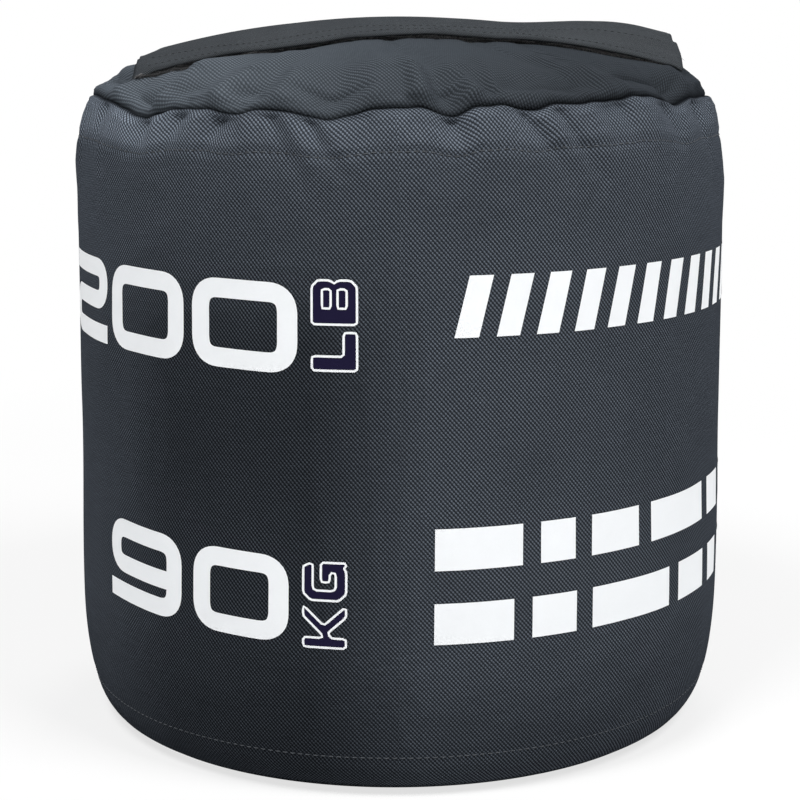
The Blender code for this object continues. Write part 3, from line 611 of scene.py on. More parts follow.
def cut(piece, place, direction):
    """Cuts away the part of a sheet that lies on the far side of a plane."""
    bm = bmesh.new()
    bm.from_mesh(piece.data)
    geometry = bm.verts[:] + bm.edges[:] + bm.faces[:]
    bmesh.ops.bisect_plane(bm, geom=geometry, plane_co=place, plane_no=direction, clear_outer=True)
    bm.to_mesh(piece.data)
    bm.free()


def folded(profile, station, side):
    """The turn of a raw edge to the inside, with side -1 at the bottom and 1 at the top."""
    fold = (FABRIC + GAP) / 2
    points = []
    for share in (0.15, 0.3, 0.5, 0.7, 0.85):
        turn = math.pi * share
        depth = FABRIC / 2 + fold * (1 - math.cos(turn))
        points.append(profile.at(station, depth)[0] + past(profile, station, side * fold * math.sin(turn)))
    return np.array(points)


def past(profile, station, length):
    """A step along the curve's own direction."""
    before, here = profile.at([station - GAP, station])
    return unit(here - before) * length


def make_wall():
    inner = FABRIC * 1.5 + GAP
    rise = WALL.station_at_height(SEAM_HEIGHT - FINE_DROP)
    path = np.concatenate([
        WALL.path(LOW_FOLD + ALLOWANCE, LOW_FOLD, inner),
        folded(WALL, LOW_FOLD, -1)[::-1],
        WALL.path(LOW_FOLD, rise, FABRIC / 2)[:-1],
        WALL.path(rise, WALL_TOP, FABRIC / 2, FINE_STEP),
        folded(WALL, WALL_TOP, 1),
        WALL.path(WALL_TOP, WALL_TOP - ALLOWANCE, inner, FINE_STEP),
    ])
    wall = turned("wall_cloth", path, WALL_COLUMNS, FABRIC)
    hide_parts("wall_panel")
    dress(wall, SHELL)


def make_bottom():
    skirt = FABRIC * 2.5 + GAP * 2
    jog = BOTTOM_SEAM - GAP / 2 - FABRIC / 2
    floor = WALL.path(0.004, jog, FABRIC / 2, 0.006)
    path = np.concatenate([floor, WALL.path(jog, LOW_FOLD + ALLOWANCE, skirt)])
    bottom = turned("bottom_cloth", path, 256, FABRIC)
    close_middle(bottom)
    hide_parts("bottom_panel")
    dress(bottom, SHELL)


def close_middle(piece):
    """Fills the small hole that a turned sheet leaves in the middle of its floor, with a fan of faces."""
    bm = bmesh.new()
    bm.from_mesh(piece.data)
    edges = [
        edge for edge in bm.edges
        if edge.is_boundary and max(vert.co.xy.length + vert.co.z for vert in edge.verts) < 0.02
    ]
    centre = bm.verts.new(sum((edge.verts[0].co for edge in edges), Vector()) / len(edges))
    for edge in edges:
        low, high = edge.verts
        if edge.link_loops[0].vert == low:
            low, high = high, low
        face = bm.faces.new((low, high, centre))
        face.smooth = True
    bm.to_mesh(piece.data)
    bm.free()


def make_top():
    """The two halves of the domed top."""
    skirt = FABRIC * 2.5 + GAP * 2
    reach = GAP + FABRIC + GAP / 2 + FABRIC / 2
    path = np.concatenate([
        WALL.path(WALL_TOP - ALLOWANCE, WALL_TOP, skirt, FINE_STEP),
        [WALL.at(WALL_TOP, skirt)[0] + past(WALL, WALL_TOP, reach)],
        DOME.path(0.0, FINE_REACH, FABRIC / 2, FINE_STEP),
        DOME.path(FINE_REACH, DOME.length - MM, FABRIC / 2)[1:],
    ])
    half = ZIP_HALF_OPENING
    halves = (("top_cloth_front", "top_panel_front", -1), ("top_cloth_rear", "top_panel_rear", 1))
    for name, node, side in halves:
        panel = turned(name, path, DOME_COLUMNS, FABRIC, flat_top=True)
        cut(panel, (0, side * half, 0), (0, -side, 0))
        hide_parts(node)
        dress(panel, LIT_TOP_SHELL)


def make_seam_parts():
    """The webbing behind the stitching, the tape up the back and the tabs behind the slit's ends."""
    behind = FABRIC + GAP + WEBBING / 2
    low_band = LOW_FOLD + ALLOWANCE + GAP
    high_band = WALL_TOP - ALLOWANCE - GAP
    bands = (("top_webbing", "top_seam_webbing", high_band - WEBBING_WIDTH, high_band),
             ("bottom_webbing", "bottom_seam_webbing", low_band, low_band + WEBBING_WIDTH))
    for name, node, low, high in bands:
        band = turned(name, WALL.path(low, high, behind, BAND_STEP), 400, WEBBING)
        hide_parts(node)
        dress(band, RIBBED)

    path = WALL.path(low_band + WEBBING_WIDTH + GAP, high_band - WEBBING_WIDTH - GAP, behind)
    half = math.degrees(SEAM_TAPE_WIDTH / 2 / BELLY_RADIUS)
    tape = patch("back_tape", path, np.radians(np.linspace(180 - half, 180 + half, 13)), WEBBING)
    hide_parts("back_seam_tape")
    dress(tape, RIBBED)

    start = DOME.station_at_radius(TAB_START)
    path = DOME.path(0.0, start, FABRIC * 1.5 + GAP, BAND_STEP)
    half = math.degrees(TAB_WIDTH / 2 / SEAM_RADIUS)
    tabs = (("slit_tab_left", "zip_end_tab_left", -90), ("slit_tab_right", "zip_end_tab_right", 90))
    for name, node, middle in tabs:
        tab = patch(name, path, np.radians(np.linspace(middle - half, middle + half, 17)), FABRIC)
        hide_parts(node)
        dress(tab, SHELL)


# Flap: how far its front edge swings back, at places along it, and where its ends are
FLAP_SWING = (
    (-0.170, -0.007), (-0.150, -0.011), (-0.122, -0.015), (-0.085, -0.028), (-0.060, -0.022),
    (-0.030, -0.006), (0.0, 0.0), (0.040, -0.001), (0.070, 0.009), (0.100, 0.016), (0.140, 0.013),
    (0.170, 0.012),
)
FLAP_RIPPLE = Waves(21, (2, 9), 14, 7)
FLAP_ENDS = (-0.1615, 0.1725)
# Where the flap's height over the folds is read, in degrees round the bag, for its mean
BRIDGE_TURNS = (-8.0, -5.4, -2.7, 0.0, 2.7, 5.4, 8.0)
# How high the flap's right end stands off the top, how deep its crease is, how much shorter the end is
# at the back than at the front, and how far the corners lie under the plain flap
TENT_RISE = 0.0120
TENT_CREASE = 0.0019
END_SLANT = 0.0075
RIGHT_DROP = 0.0014
LEFT_DROP = 0.0020


def swing(arc):
    """How far back the flap's front edge lies at an arc along it, on a smooth curve."""
    arcs, steps = np.array(FLAP_SWING).T
    fine = np.linspace(arcs[0], arcs[-1], 120)
    raw = np.interp(fine, arcs, steps)
    kernel = np.hanning(17)
    padded = np.concatenate([np.full(8, raw[0]), raw, np.full(8, raw[-1])])
    eased_steps = np.convolve(padded, kernel / kernel.sum(), "valid")
    return np.interp(arc, fine, eased_steps)


def tent(arc, y):
    """The lift of the flap's right end off the dome, with a crease across it."""
    along = smooth(arc, 0.060, 0.150)
    across = smooth(y, -0.080, -0.036) * (1 - smooth(y, 0.0, 0.033))
    crease = bell(y + 0.030 + 0.5 * (arc - 0.140), 0.0045) * smooth(arc, 0.108, 0.140)
    return TENT_RISE * along * across - TENT_CREASE * crease


def settle(arc, y):
    """How far the flap lies under its plain level at its ends, past the closure and the chain."""
    corner = smooth(arc, 0.135, 0.172) * (1 - smooth(y, -0.085, -0.045))
    left = smooth(-arc, 0.149, 0.1615) * (1 - smooth(y, 0.005, 0.028))
    return RIGHT_DROP * corner + LEFT_DROP * left


def flap_points(arc, y, level, lifted=True):
    """Places on the flap, over the folds: along it, across it, and over the crown's cloth."""
    arc, y, level = np.broadcast_arrays(arc, y, level)
    fade = 1 - smooth(y, -FLAP_FRONT + 0.030, -0.016)
    across = y + swing(arc) * fade
    if lifted:
        middle = (FLAP_ENDS[0] + FLAP_ENDS[1]) / 2
        arc = middle + arc * (FLAP_ENDS[1] - FLAP_ENDS[0]) / 2 / FLAP_HALF
        arc = arc - END_SLANT * smooth(arc, 0.10, 0.172) * smooth(across, -0.082, -0.022)
        ripple = FLAP_WAVE * FLAP_RIPPLE.at(np.degrees(arc / 0.2), across * 30) * (1 - smooth(y, 0.0, 0.03))
        rise = level + tent(arc, across) - settle(arc, across) + ripple * smooth(level, 0.0, 0.004)
    else:
        rise = level
    radius = np.sqrt(CROWN_RADIUS ** 2 - across ** 2) + rise
    turn = arc / CROWN_RADIUS
    x, z = radius * np.sin(turn), CROWN_CENTRE + radius * np.cos(turn)
    points = points_from(x, across, z - over_edge(np.hypot(x, across)))
    return points + dome_carry(points, lifted)


def over_edge(radius):
    """How far the top's edge lies under the crown's plain curve, at a radius."""
    reach = np.clip(radius, 0, SEAM_RADIUS - MM)
    curve = CROWN_CENTRE + np.sqrt(CROWN_RADIUS ** 2 - reach ** 2)
    return curve - np.interp(-reach, -DOME.points[:, 0], DOME.points[:, 1])


def flap_sheet(name, path, half_arc, thickness, lifted=True, wavy=True):
    """A sheet of the flap from a path of (y, level), laid from end to end."""
    path = np.asarray(path, float)
    columns = round(2 * half_arc / BAND_STEP) + 1
    arcs = np.linspace(-half_arc, half_arc, columns)
    y = path[:, :1] + np.zeros(columns)
    level = path[:, 1:] + np.zeros(columns)
    points = flap_points(arcs, y, level, lifted) if wavy else plain_crown(arcs, y, level)
    faces, rows_of, columns_of = grid_faces(len(path), columns, False)
    thread = points_from(arcs[columns_of], run_along(path)[rows_of])
    return thicken(add_mesh(name, points, faces, thread), thickness)


def plain_crown(arcs, y, level):
    """Places over the crown's plain curve, for what the folds don't reach."""
    radius = np.sqrt(CROWN_RADIUS ** 2 - y ** 2) + level
    turn = arcs / CROWN_RADIUS
    return points_from(radius * np.sin(turn), y, CROWN_CENTRE + radius * np.cos(turn))


def dome_carry(points, bridging):
    """The field's upright part alone, so that the flap's pieces ride on the folds under them.

    Towards its front edge a bridging piece takes the mean over a span round the bag, because it is
    too stiff to follow each fold.
    """
    x, y, z = np.transpose(points)
    lift = field(points)[:, 2]
    if bridging:
        spans = []
        for turn in np.radians(BRIDGE_TURNS):
            across = x * math.cos(turn) - y * math.sin(turn)
            back = x * math.sin(turn) + y * math.cos(turn)
            spans.append(field(points_from(across, back, z))[:, 2])
        lift = lift + (np.mean(spans, axis=0) - lift) * smooth(-y, 0.020, 0.055)
    return points_from(0.0, 0.0, lift)


def flap_rise(y):
    """How far the lining stands over the crown: low on the strips, high over the zip."""
    start = STRIP_FRONT + STRIP_WIDTH
    share = np.clip((y - start) / (-TUNNEL_HALF - start), 0, 1)
    return STACK_LEVEL + (TUNNEL_LEVEL - STACK_LEVEL) * (1 - np.cos(np.pi * share)) / 2


def make_flap():
    edge = -FLAP_FRONT + FABRIC / 2
    top = STACK_LEVEL + COVER_LEVEL
    lip = [(edge, top - 0.0022), (edge - 0.0002, top - 0.0012), (edge + 0.0002, top - 0.0004),
           (edge + 0.0010, top)]
    over = np.linspace(edge + 0.003, TUNNEL_HALF, 44)
    body = points_from(over, flap_rise(over) + COVER_LEVEL)
    share = np.linspace(0, 1, 14)[1:]
    down = TUNNEL_HALF + (FLAP_HINGE - TUNNEL_HALF) * share
    hinge_level = GAP + FABRIC / 2
    fall = hinge_level + (TUNNEL_LEVEL + COVER_LEVEL - hinge_level) * (1 + np.cos(np.pi * share)) / 2
    hem = points_from(np.linspace(FLAP_HINGE + 0.002, HEM_BACK, 7), hinge_level)
    path = np.concatenate([lip, body, points_from(down, fall), hem])
    cover = flap_sheet("flap_cloth", path, FLAP_HALF, COVER)
    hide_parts("flap_cover", "flap_hem")
    bend(dress(cover, FLAP, None))

    y = np.linspace(-FLAP_FRONT + FABRIC + GAP + 0.002, TUNNEL_HALF, 46)
    path = points_from(y, flap_rise(y) + LINING / 2)
    lining = flap_sheet("flap_lining_cloth", path, FLAP_HALF - FABRIC, LINING)
    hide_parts("flap_lining")
    bend(dress(lining, LINING_CLOTH, None))

    y = np.linspace(STRIP_FRONT - 0.0022, STRIP_FRONT + STRIP_WIDTH, 12)
    path = points_from(y, GAP + STRIP + GAP + STRIP / 2)
    hooks = flap_sheet("hook_tape", path, STRIP_HALF, STRIP)
    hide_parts("flap_hook_strip")
    dress(hooks, FUZZY, "flap")

    path = points_from(y, GAP + STRIP / 2)
    loops = flap_sheet("loop_tape", path, STRIP_HALF, STRIP, lifted=False)
    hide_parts("flap_loop_strip")
    dress(loops, FUZZY)


def bend(piece):
    """Bakes a sheet of the flap's placing into its points; the sheet already runs down over the hinge line,
    with its hem on the bag.
    """
    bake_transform(piece)


def make_zip_tapes():
    tapes = (("zip_cloth_front", "zip_tape_front", -1), ("zip_cloth_rear", "zip_tape_rear", 1))
    for name, node, side in tapes:
        y = np.sort(side * np.linspace(TAPE_NEAR, TAPE_NEAR + TAPE_WIDTH, 8))
        tape = flap_sheet(name, points_from(y, TAPE_TOP - TAPE / 2), CHAIN_HALF, TAPE, wavy=False)
        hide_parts(node)
        dress(tape, RIBBED)


def make_liner():
    """The filler bag with its gathered neck, which a cord ties."""
    side = 3 * FABRIC + 4 * GAP + LINER / 2
    low = WALL.path(0.006, BOTTOM_SEAM - 0.010, FABRIC + GAP + LINER / 2, 0.01)
    wall = WALL.path(BOTTOM_SEAM, WALL.station_at_height(LINER_SHOULDER_HEIGHT), side, 0.008)
    start = DOME.at(DOME.station_at_radius(LINER_DOME_RADIUS), LINER_UNDER)[0]
    foot = wall[-1]
    turns = np.linspace(0, math.pi / 2, 10)[1:-1]
    shoulder = points_from(
        start[0] + (foot[0] - start[0]) * np.cos(turns), foot[1] + (start[1] - foot[1]) * np.sin(turns)
    )
    rims = [DOME.station_at_radius(radius) for radius in (LINER_DOME_RADIUS, DIP_RADIUS)]
    crown = DOME.path(*rims, LINER_UNDER, 0.008)
    rim, level = crown[-1]
    dip_shares = ((0.72, 0.22), (0.45, 0.78), (0.28, 1.0))
    dip = [(rim * across, level - DIP_DEPTH * down) for across, down in dip_shares]
    neck = [(NECK_RADIUS, level - DIP_DEPTH * share) for share in (0.8, 0.42)] + [(NECK_FLARE, level - LINER)]
    path = np.concatenate([low, wall, shoulder, crown, dip, neck])
    liner = turned("liner", path, 128, LINER)
    close_middle(liner)
    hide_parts("liner_bag")
    dress(liner, FILM)


# Printing: strokes of white ink, in metres along the cloth and up it
INK = 0.0003
PRINT_RADIUS = 0.2045
PRINT_STEP = 0.002
LEVEL_STROKE = 0.011
UPRIGHT_STROKE = 0.0118
STROKE_CORNER = 0.0115
DIGIT_HEIGHT = 0.0500
# Each weight: its digits with their left edges and widths, the heading of its left edge in degrees, its
# height and its tilt. Each unit: its letters, the second one's start, the scales of the letters' height
# and width, its heading and its height.
POUNDS = (("2", 0.0, 0.0674), ("0", 0.0735, 0.0674), ("0", 0.1470, 0.0674))
KILOGRAMS = (("9", 0.003, 0.0700), ("0", 0.0818, 0.0612))
WEIGHTS = (
    ("weight_pounds", POUNDS, -75.95, 0.2524, -0.024), ("weight_kilograms", KILOGRAMS, -57.4, 0.0975, -0.030),
)
UNITS = (
    ("unit_pounds", "LB", 29, 0.86, 0.88, -13.6, 0.2500),
    ("unit_kilograms", "KG", 34, 0.83, 0.81, -15.0, 0.0920),
)
BAR_WIDTHS = (0.050, 0.022, 0.036, 0.064, 0.028, 0.045)
BAR_GAP = 0.011
BAR_HEIGHT = 0.024
BAR_HEADING = 5.2
LEANING_BARS = 15
LEANING_PITCH = 0.0235


def rounded(points, radius, closed):
    """A path through some corners, each rounded, with points at an even step."""
    points = [np.array(p, float) for p in points]
    count = len(points)
    path = []
    for i, here in enumerate(points):
        if not closed and i in (0, count - 1):
            path.append(here)
            continue
        into, out = here - points[i - 1], points[(i + 1) % count] - here
        room = min(np.hypot(*into), np.hypot(*out)) / 2
        into, out = unit(into), unit(out)
        bend_angle = math.acos(max(-1.0, min(1.0, float(into @ out))))
        reach = min(radius * math.tan(bend_angle / 2), room)
        for share in np.linspace(0, 1, 9):
            a, b = here - into * reach, here + out * reach
            path.append((1 - share) ** 2 * a + 2 * share * (1 - share) * here + share ** 2 * b)
    if closed:
        path.append(path[0])
    path = np.array(path)
    run = run_along(path)
    keep = np.concatenate([[True], np.diff(run) > 1e-6])
    path, run = path[keep], run[keep]
    even = np.linspace(0, run[-1], max(3, round(run[-1] / PRINT_STEP)) + 1)
    even_path = along_path(even, run, path)
    return even_path[:-1] if closed else even_path


def print_points(flat, lift):
    """Places on the wall's outside from (heading in radians, height) pairs."""
    station = np.interp(flat[:, 1], WALL.points[1:, 1], WALL.run[1:])
    return carry(swept(WALL.at(station, -lift), flat[:, :1]))


def printed(flat, left, base, lift, tilt=0.0):
    """The places of flat points that are given from a corner at a heading in degrees and a height."""
    heading = math.radians(left) + flat[:, 0] / PRINT_RADIUS
    return print_points(points_from(heading, base + flat[:, 1] + tilt * flat[:, 0]), lift)


def stroke(points, corner, widths, closed):
    """A printed stroke: its flat grid of points, by rows across it, and its faces."""
    path = rounded(points, corner, closed)
    if closed:
        tangent = np.roll(path, -1, axis=0) - np.roll(path, 1, axis=0)
    else:
        tangent = np.gradient(path, axis=0)
    tangent = unit(tangent)
    half = np.hypot(widths[0] * tangent[:, 0], widths[1] * tangent[:, 1]) / 2
    normal = points_from(-tangent[:, 1], tangent[:, 0])
    rows = 5 if widths[0] > 0.005 else 3
    sides = np.linspace(-1, 1, rows)
    grid = path[None] + normal[None] * (half[None, :, None] * sides[:, None, None])
    faces, _, _ = grid_faces(rows, len(path), closed)
    return grid.reshape(-1, 2), faces


def add_print(name, strokes, left, base, tilt=0.0):
    """Prints some strokes in white ink."""
    points, faces = [], []
    count = 0
    for flat, stroke_faces in strokes:
        points.append(flat)
        faces.append(stroke_faces + count)
        count += len(flat)
    places = printed(np.concatenate(points), left, base, INK, tilt)
    dress(add_mesh(name, places, np.concatenate(faces)), INK_FINISH)


def digit_stroke(digit, left, width):
    """The stroke of a wide square digit."""
    x0, x1 = left + UPRIGHT_STROKE / 2, left + width - UPRIGHT_STROKE / 2
    low, high = LEVEL_STROKE / 2, DIGIT_HEIGHT - LEVEL_STROKE / 2
    middle, waist = DIGIT_HEIGHT / 2, DIGIT_HEIGHT * 0.45
    right, inner = left + width, x1 - UPRIGHT_STROKE / 2
    shapes = {
        "0": ([(x0, low), (x1, low), (x1, high), (x0, high)], True),
        "2": ([(left, high), (x1, high), (x1, middle), (x0, middle), (x0, low), (right, low)], False),
        "9": ([(left, low), (x1, low), (x1, high), (x0, high), (x0, waist), (inner, waist)], False),
    }
    points, closed = shapes[digit]
    return stroke(points, STROKE_CORNER, (LEVEL_STROKE, UPRIGHT_STROKE), closed)


# Outlines of the letters, in millimetres: the first one round each letter, and then its holes
LETTERS = {
    "L": [[(0, 0), (24, 0), (24, 8.5), (9, 8.5), (9, 29), (0, 29)]],
    "B": [
        [(0, 0), (23.5, 0), (27.5, 4), (27.5, 12), (25, 14.5), (27.5, 17), (27.5, 25), (23.5, 29), (0, 29)],
        [(10, 6.5), (22, 6.5), (22, 12.3), (10, 12.3)],
        [(10, 16.7), (22, 16.7), (22, 22.3), (10, 22.3)],
    ],
    "K": [[
        (0, 0), (7, 0), (7, 9.5), (10.5, 12.5), (22.5, 0), (29, 0), (29, 1.5), (16, 15), (29, 28),
        (29, 29), (22.5, 29), (7, 13.8), (7, 29), (0, 29),
    ]],
    "G": [[
        (5, 0), (21, 0), (23, 2), (25.5, 0), (27, 0), (27, 17), (13, 17), (13, 11), (20, 11), (20, 7),
        (8.5, 7), (7, 9), (7, 20.5), (8.5, 22.5), (27, 22.5), (24, 29), (5, 29), (0, 24), (0, 5),
    ]],
}
LETTER_HEIGHT = 29
OUTLINE_STROKE = 0.0013
LETTER_CORNER = 0.0016
HOLE_CORNER = 0.0006


def upright_word(letters, starts, across, along):
    """Outlined letters that read up the wall, with their tops to the left, and the sheets that fill them."""
    strokes, fills = [], []
    for letter, start in zip(letters, starts):
        for i, outline in enumerate(LETTERS[letter]):
            points = [((LETTER_HEIGHT - y) * across * MM, (start + x) * along * MM) for x, y in outline]
            corner = HOLE_CORNER if i else LETTER_CORNER
            strokes.append(stroke(points, corner, (OUTLINE_STROKE, OUTLINE_STROKE), True))
            if i == 0:
                fills.append(rounded(points, corner, True))
    return strokes, fills


def add_fills(name, outlines, left, base):
    """Thin sheets of navy ink inside some outlines, under their strokes."""
    mesh = bpy.data.meshes.new(name)
    bm = bmesh.new()
    for outline in outlines:
        verts = [bm.verts.new((across, up, 0)) for across, up in outline]
        edges = [bm.edges.new((verts[i - 1], vert)) for i, vert in enumerate(verts)]
        bmesh.ops.triangle_fill(bm, edges=edges, use_beauty=True)
    for _ in range(3):
        long_edges = [edge for edge in bm.edges if edge.calc_length() > PRINT_STEP]
        bmesh.ops.subdivide_edges(bm, edges=long_edges, cuts=1)
        bmesh.ops.triangulate(bm, faces=bm.faces)
    flat = np.array([vert.co[:2] for vert in bm.verts])
    for vert, point in zip(bm.verts, printed(flat, left, base, INK / 2)):
        vert.co = point
    bmesh.ops.recalc_face_normals(bm, faces=bm.faces)
    bm.to_mesh(mesh)
    bm.free()
    dress(add_object(name, mesh), NAVY_INK)


def bar(left, width, height, lean):
    """A plain bar with level ends, upright or leaning."""
    x = left + width / 2
    path = np.linspace((x, 0), (x + lean, height), max(3, round(height / PRINT_STEP) + 1))
    sides = np.linspace(-width / 2, width / 2, max(5, round(width / PRINT_STEP)))
    grid = path[None] + np.array([1.0, 0.0]) * sides[:, None, None]
    faces, _, _ = grid_faces(len(sides), len(path), False)
    return grid.reshape(-1, 2), faces


def make_prints():
    """The weight in white ink at the front, and plain bars where other printing would be."""
    for (name, digits, left, base, tilt), unit in zip(WEIGHTS, UNITS):
        add_print(name, [digit_stroke(*digit) for digit in digits], left, base, tilt)
        name, letters, second, across, along, left, base = unit
        strokes, fills = upright_word(letters, (0, second), across, along)
        add_print(name, strokes, left, base)
        add_fills(name + "_fill", fills, left, base)
    leaning = [bar(i * LEANING_PITCH, 0.0135, 0.034, 0.0085) for i in range(LEANING_BARS)]
    add_print("bars_upper", leaning, 8, 0.2680)
    for name, widths, base in (("bars_middle", BAR_WIDTHS, 0.137), ("bars_lower", BAR_WIDTHS[::-1], 0.094)):
        starts = np.cumsum((0.0,) + widths[:-1]) + BAR_GAP * np.arange(len(widths))
        bars = [bar(start, width, BAR_HEIGHT, 0.0) for start, width in zip(starts, widths)]
        add_print(name, bars, BAR_HEADING, base)


def dress(piece, material, body="bag"):
    """Gives a piece its material and the body that it rides on."""
    piece.data.materials.clear()
    piece.data.materials.append(material)
    if body:
        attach(piece, body)
    return piece


# Stitches: the length of each and the gap to the next
THREAD_RADIUS = 0.00032
SEAM_STITCH = (0.0036, 0.0010)
FLAP_STITCH = (0.0032, 0.0009)


def stitch_row(name, points, normals, sizes, material, body="bag"):
    """A row of single stitches along a path, each a short bent thread that dives in at its ends."""
    length, gap = sizes
    run = run_along(points)
    count = int(run[-1] / (length + gap))
    pitch = run[-1] / count
    rings, sides = 6, 6
    all_points, all_faces = [], []
    share = np.linspace(0, 1, rings)
    arch = np.sin(np.pi * share) ** 0.6
    ring_angles = round_turns(sides)[None, :, None]
    faces, _, _ = grid_faces(rings, sides, True)
    caps = [tuple(range(sides)), tuple((rings - 1) * sides + i for i in range(sides))[::-1]]
    for i in range(count):
        where = pitch * i + gap / 2 + (pitch - gap) * share
        middle, up = along_path(where, run, points), along_path(where, run, normals)
        across = np.cross(unit(middle[-1] - middle[0]), up)
        middle = middle + up * ((arch - 0.65) * THREAD_RADIUS * 2.2)[:, None]
        spokes = across[:, None] * np.cos(ring_angles) + up[:, None] * np.sin(ring_angles)
        ring = middle[:, None] + THREAD_RADIUS * spokes
        base = i * rings * sides
        all_points.append(ring.reshape(-1, 3))
        all_faces.extend((faces + base).tolist())
        all_faces.extend([[base + v for v in cap] for cap in caps])
    dress(add_mesh(name, np.concatenate(all_points), all_faces), material, body)


def make_stitches():
    headings = np.radians(np.linspace(-180, 180, 1441))
    outward = points_from(np.sin(headings), -np.cos(headings), 0.0)
    for name, height in (("stitches_top", TOPSTITCH_HEIGHT), ("stitches_bottom", LOW_STITCH_HEIGHT)):
        points = print_points(points_from(headings, height), 0.0)
        stitch_row(name, points, outward, SEAM_STITCH, THREAD)
    heights = np.linspace(0.032, TOPSTITCH_HEIGHT - 0.004, 240)
    for name, side in (("stitches_back_left", -1), ("stitches_back_right", 1)):
        heading = math.pi + side * BACK_STITCH / BELLY_RADIUS
        points = print_points(points_from(heading, heights), 0.0)
        outward = np.tile([math.sin(heading), -math.cos(heading), 0.0], (len(points), 1))
        stitch_row(name, points, outward, SEAM_STITCH, DARK_THREAD)
    on_cover = STACK_LEVEL + COVER_LEVEL + COVER / 2
    rows = (("stitches_closure_front", "flap", -FLAP_FRONT + 0.0055, on_cover),
            ("stitches_closure_back", "flap", STRIP_FRONT + STRIP_WIDTH - 0.0012, on_cover),
            ("stitches_hem_front", "bag", FLAP_HINGE + 0.0068, GAP + FABRIC),
            ("stitches_hem_back", "bag", FLAP_HINGE + 0.0135, GAP + FABRIC))
    arcs = np.linspace(-STRIP_HALF, STRIP_HALF, 500)
    turns = arcs / CROWN_RADIUS
    outward = points_from(np.sin(turns), 0.0, np.cos(turns))
    for name, body, y, level in rows:
        stitch_row(name, flap_points(arcs, y, level), outward, FLAP_STITCH, DARK_THREAD, body)


# Loops and hooks of the closure, and frayed yarns at each end of the flap
HAIRS = 2400
HAIR_RADIUS = 0.00007
FRAYS = 70
FRAY_RADIUS = 0.00011


def add_hairs(name, roots, tips, sag, radius, material, body):
    """Short bent hairs, each a three-sided tube from a root to a tip."""
    span = tips - roots
    side = unit(np.cross(span, np.array([0.3, 0.5, 0.8])))
    other = unit(np.cross(span, side))
    rings = []
    for share, size in ((0.0, 1.0), (0.35, 0.9), (0.7, 0.7), (1.0, 0.3)):
        middle = roots + span * share - np.array([0, 0, 1.0]) * (sag * share * share)[:, None]
        for turn in round_turns(3):
            rings.append(middle + radius * size * (side * math.cos(turn) + other * math.sin(turn)))
    points = np.stack(rings, axis=1).reshape(-1, 3)
    tube, _, _ = grid_faces(4, 3, True)
    faces = (tube[None] + 12 * np.arange(len(roots))[:, None, None]).reshape(-1, 4)
    dress(add_mesh(name, points, faces), material, body)


def make_fuzz():
    """Loops and hooks that stand out of the closure's front edge, and frayed yarns at the flap's ends."""
    source = np.random.default_rng(31)
    for name, body, levels, lifted in (("hook_hairs", "flap", (0.0014, 0.0024), True),
                                       ("loop_hairs", "bag", (0.0003, 0.0013), False)):
        arcs = source.uniform(-STRIP_HALF, STRIP_HALF, HAIRS)
        level = source.uniform(levels[0], levels[1], HAIRS)
        roots = flap_points(arcs, STRIP_FRONT - 0.0020, level, lifted)
        reach = source.uniform(0.0006, 0.0026, HAIRS)
        aside, up = source.normal(0, 0.5, HAIRS), source.normal(0, 0.35, HAIRS)
        tips = roots + points_from(aside, -1.0, up) * reach[:, None]
        add_hairs(name, roots, tips, reach * 0.3, HAIR_RADIUS, FUZZY, body)
    roots, tips = [], []
    for end in (-1, 1):
        y = source.uniform(-FLAP_FRONT + 0.001, 0.012, FRAYS)
        y = y * np.where(source.uniform(size=FRAYS) < 0.5, 1.0, 0.97)
        root = flap_points(end * (FLAP_HALF - 0.0005), y, STACK_LEVEL + COVER_LEVEL - 0.0002)
        reach = source.uniform(0.0003, 0.0015, FRAYS) * np.where(y < -FLAP_FRONT + 0.012, 1.7, 1.0)
        aside, up = source.normal(0, 0.5, FRAYS), source.normal(-0.1, 0.4, FRAYS)
        roots.append(root)
        tips.append(root + points_from(end, aside, up) * reach[:, None])
    roots, tips = np.concatenate(roots), np.concatenate(tips)
    sag = np.full(len(roots), 0.0006)
    add_hairs("frayed_yarns", roots, tips, sag, FRAY_RADIUS, DARK_THREAD, "flap")


class Value:
    """An output socket of a material's nodes. Sums and products of values add Math nodes."""

    def __init__(self, finish, socket):
        self.finish = finish
        self.socket = socket

    def beside(self, output):
        """Another output of the same node."""
        return Value(self.finish, self.socket.node.outputs[output])

    def math(self, operation, *others):
        return self.finish.node("ShaderNodeMath", {"operation": operation}, [self, *others])

    def __add__(self, other):
        return self.math("ADD", other)

    __radd__ = __add__

    def __mul__(self, other):
        return self.math("MULTIPLY", other)

    __rmul__ = __mul__

    def __sub__(self, other):
        return self.math("SUBTRACT", other)


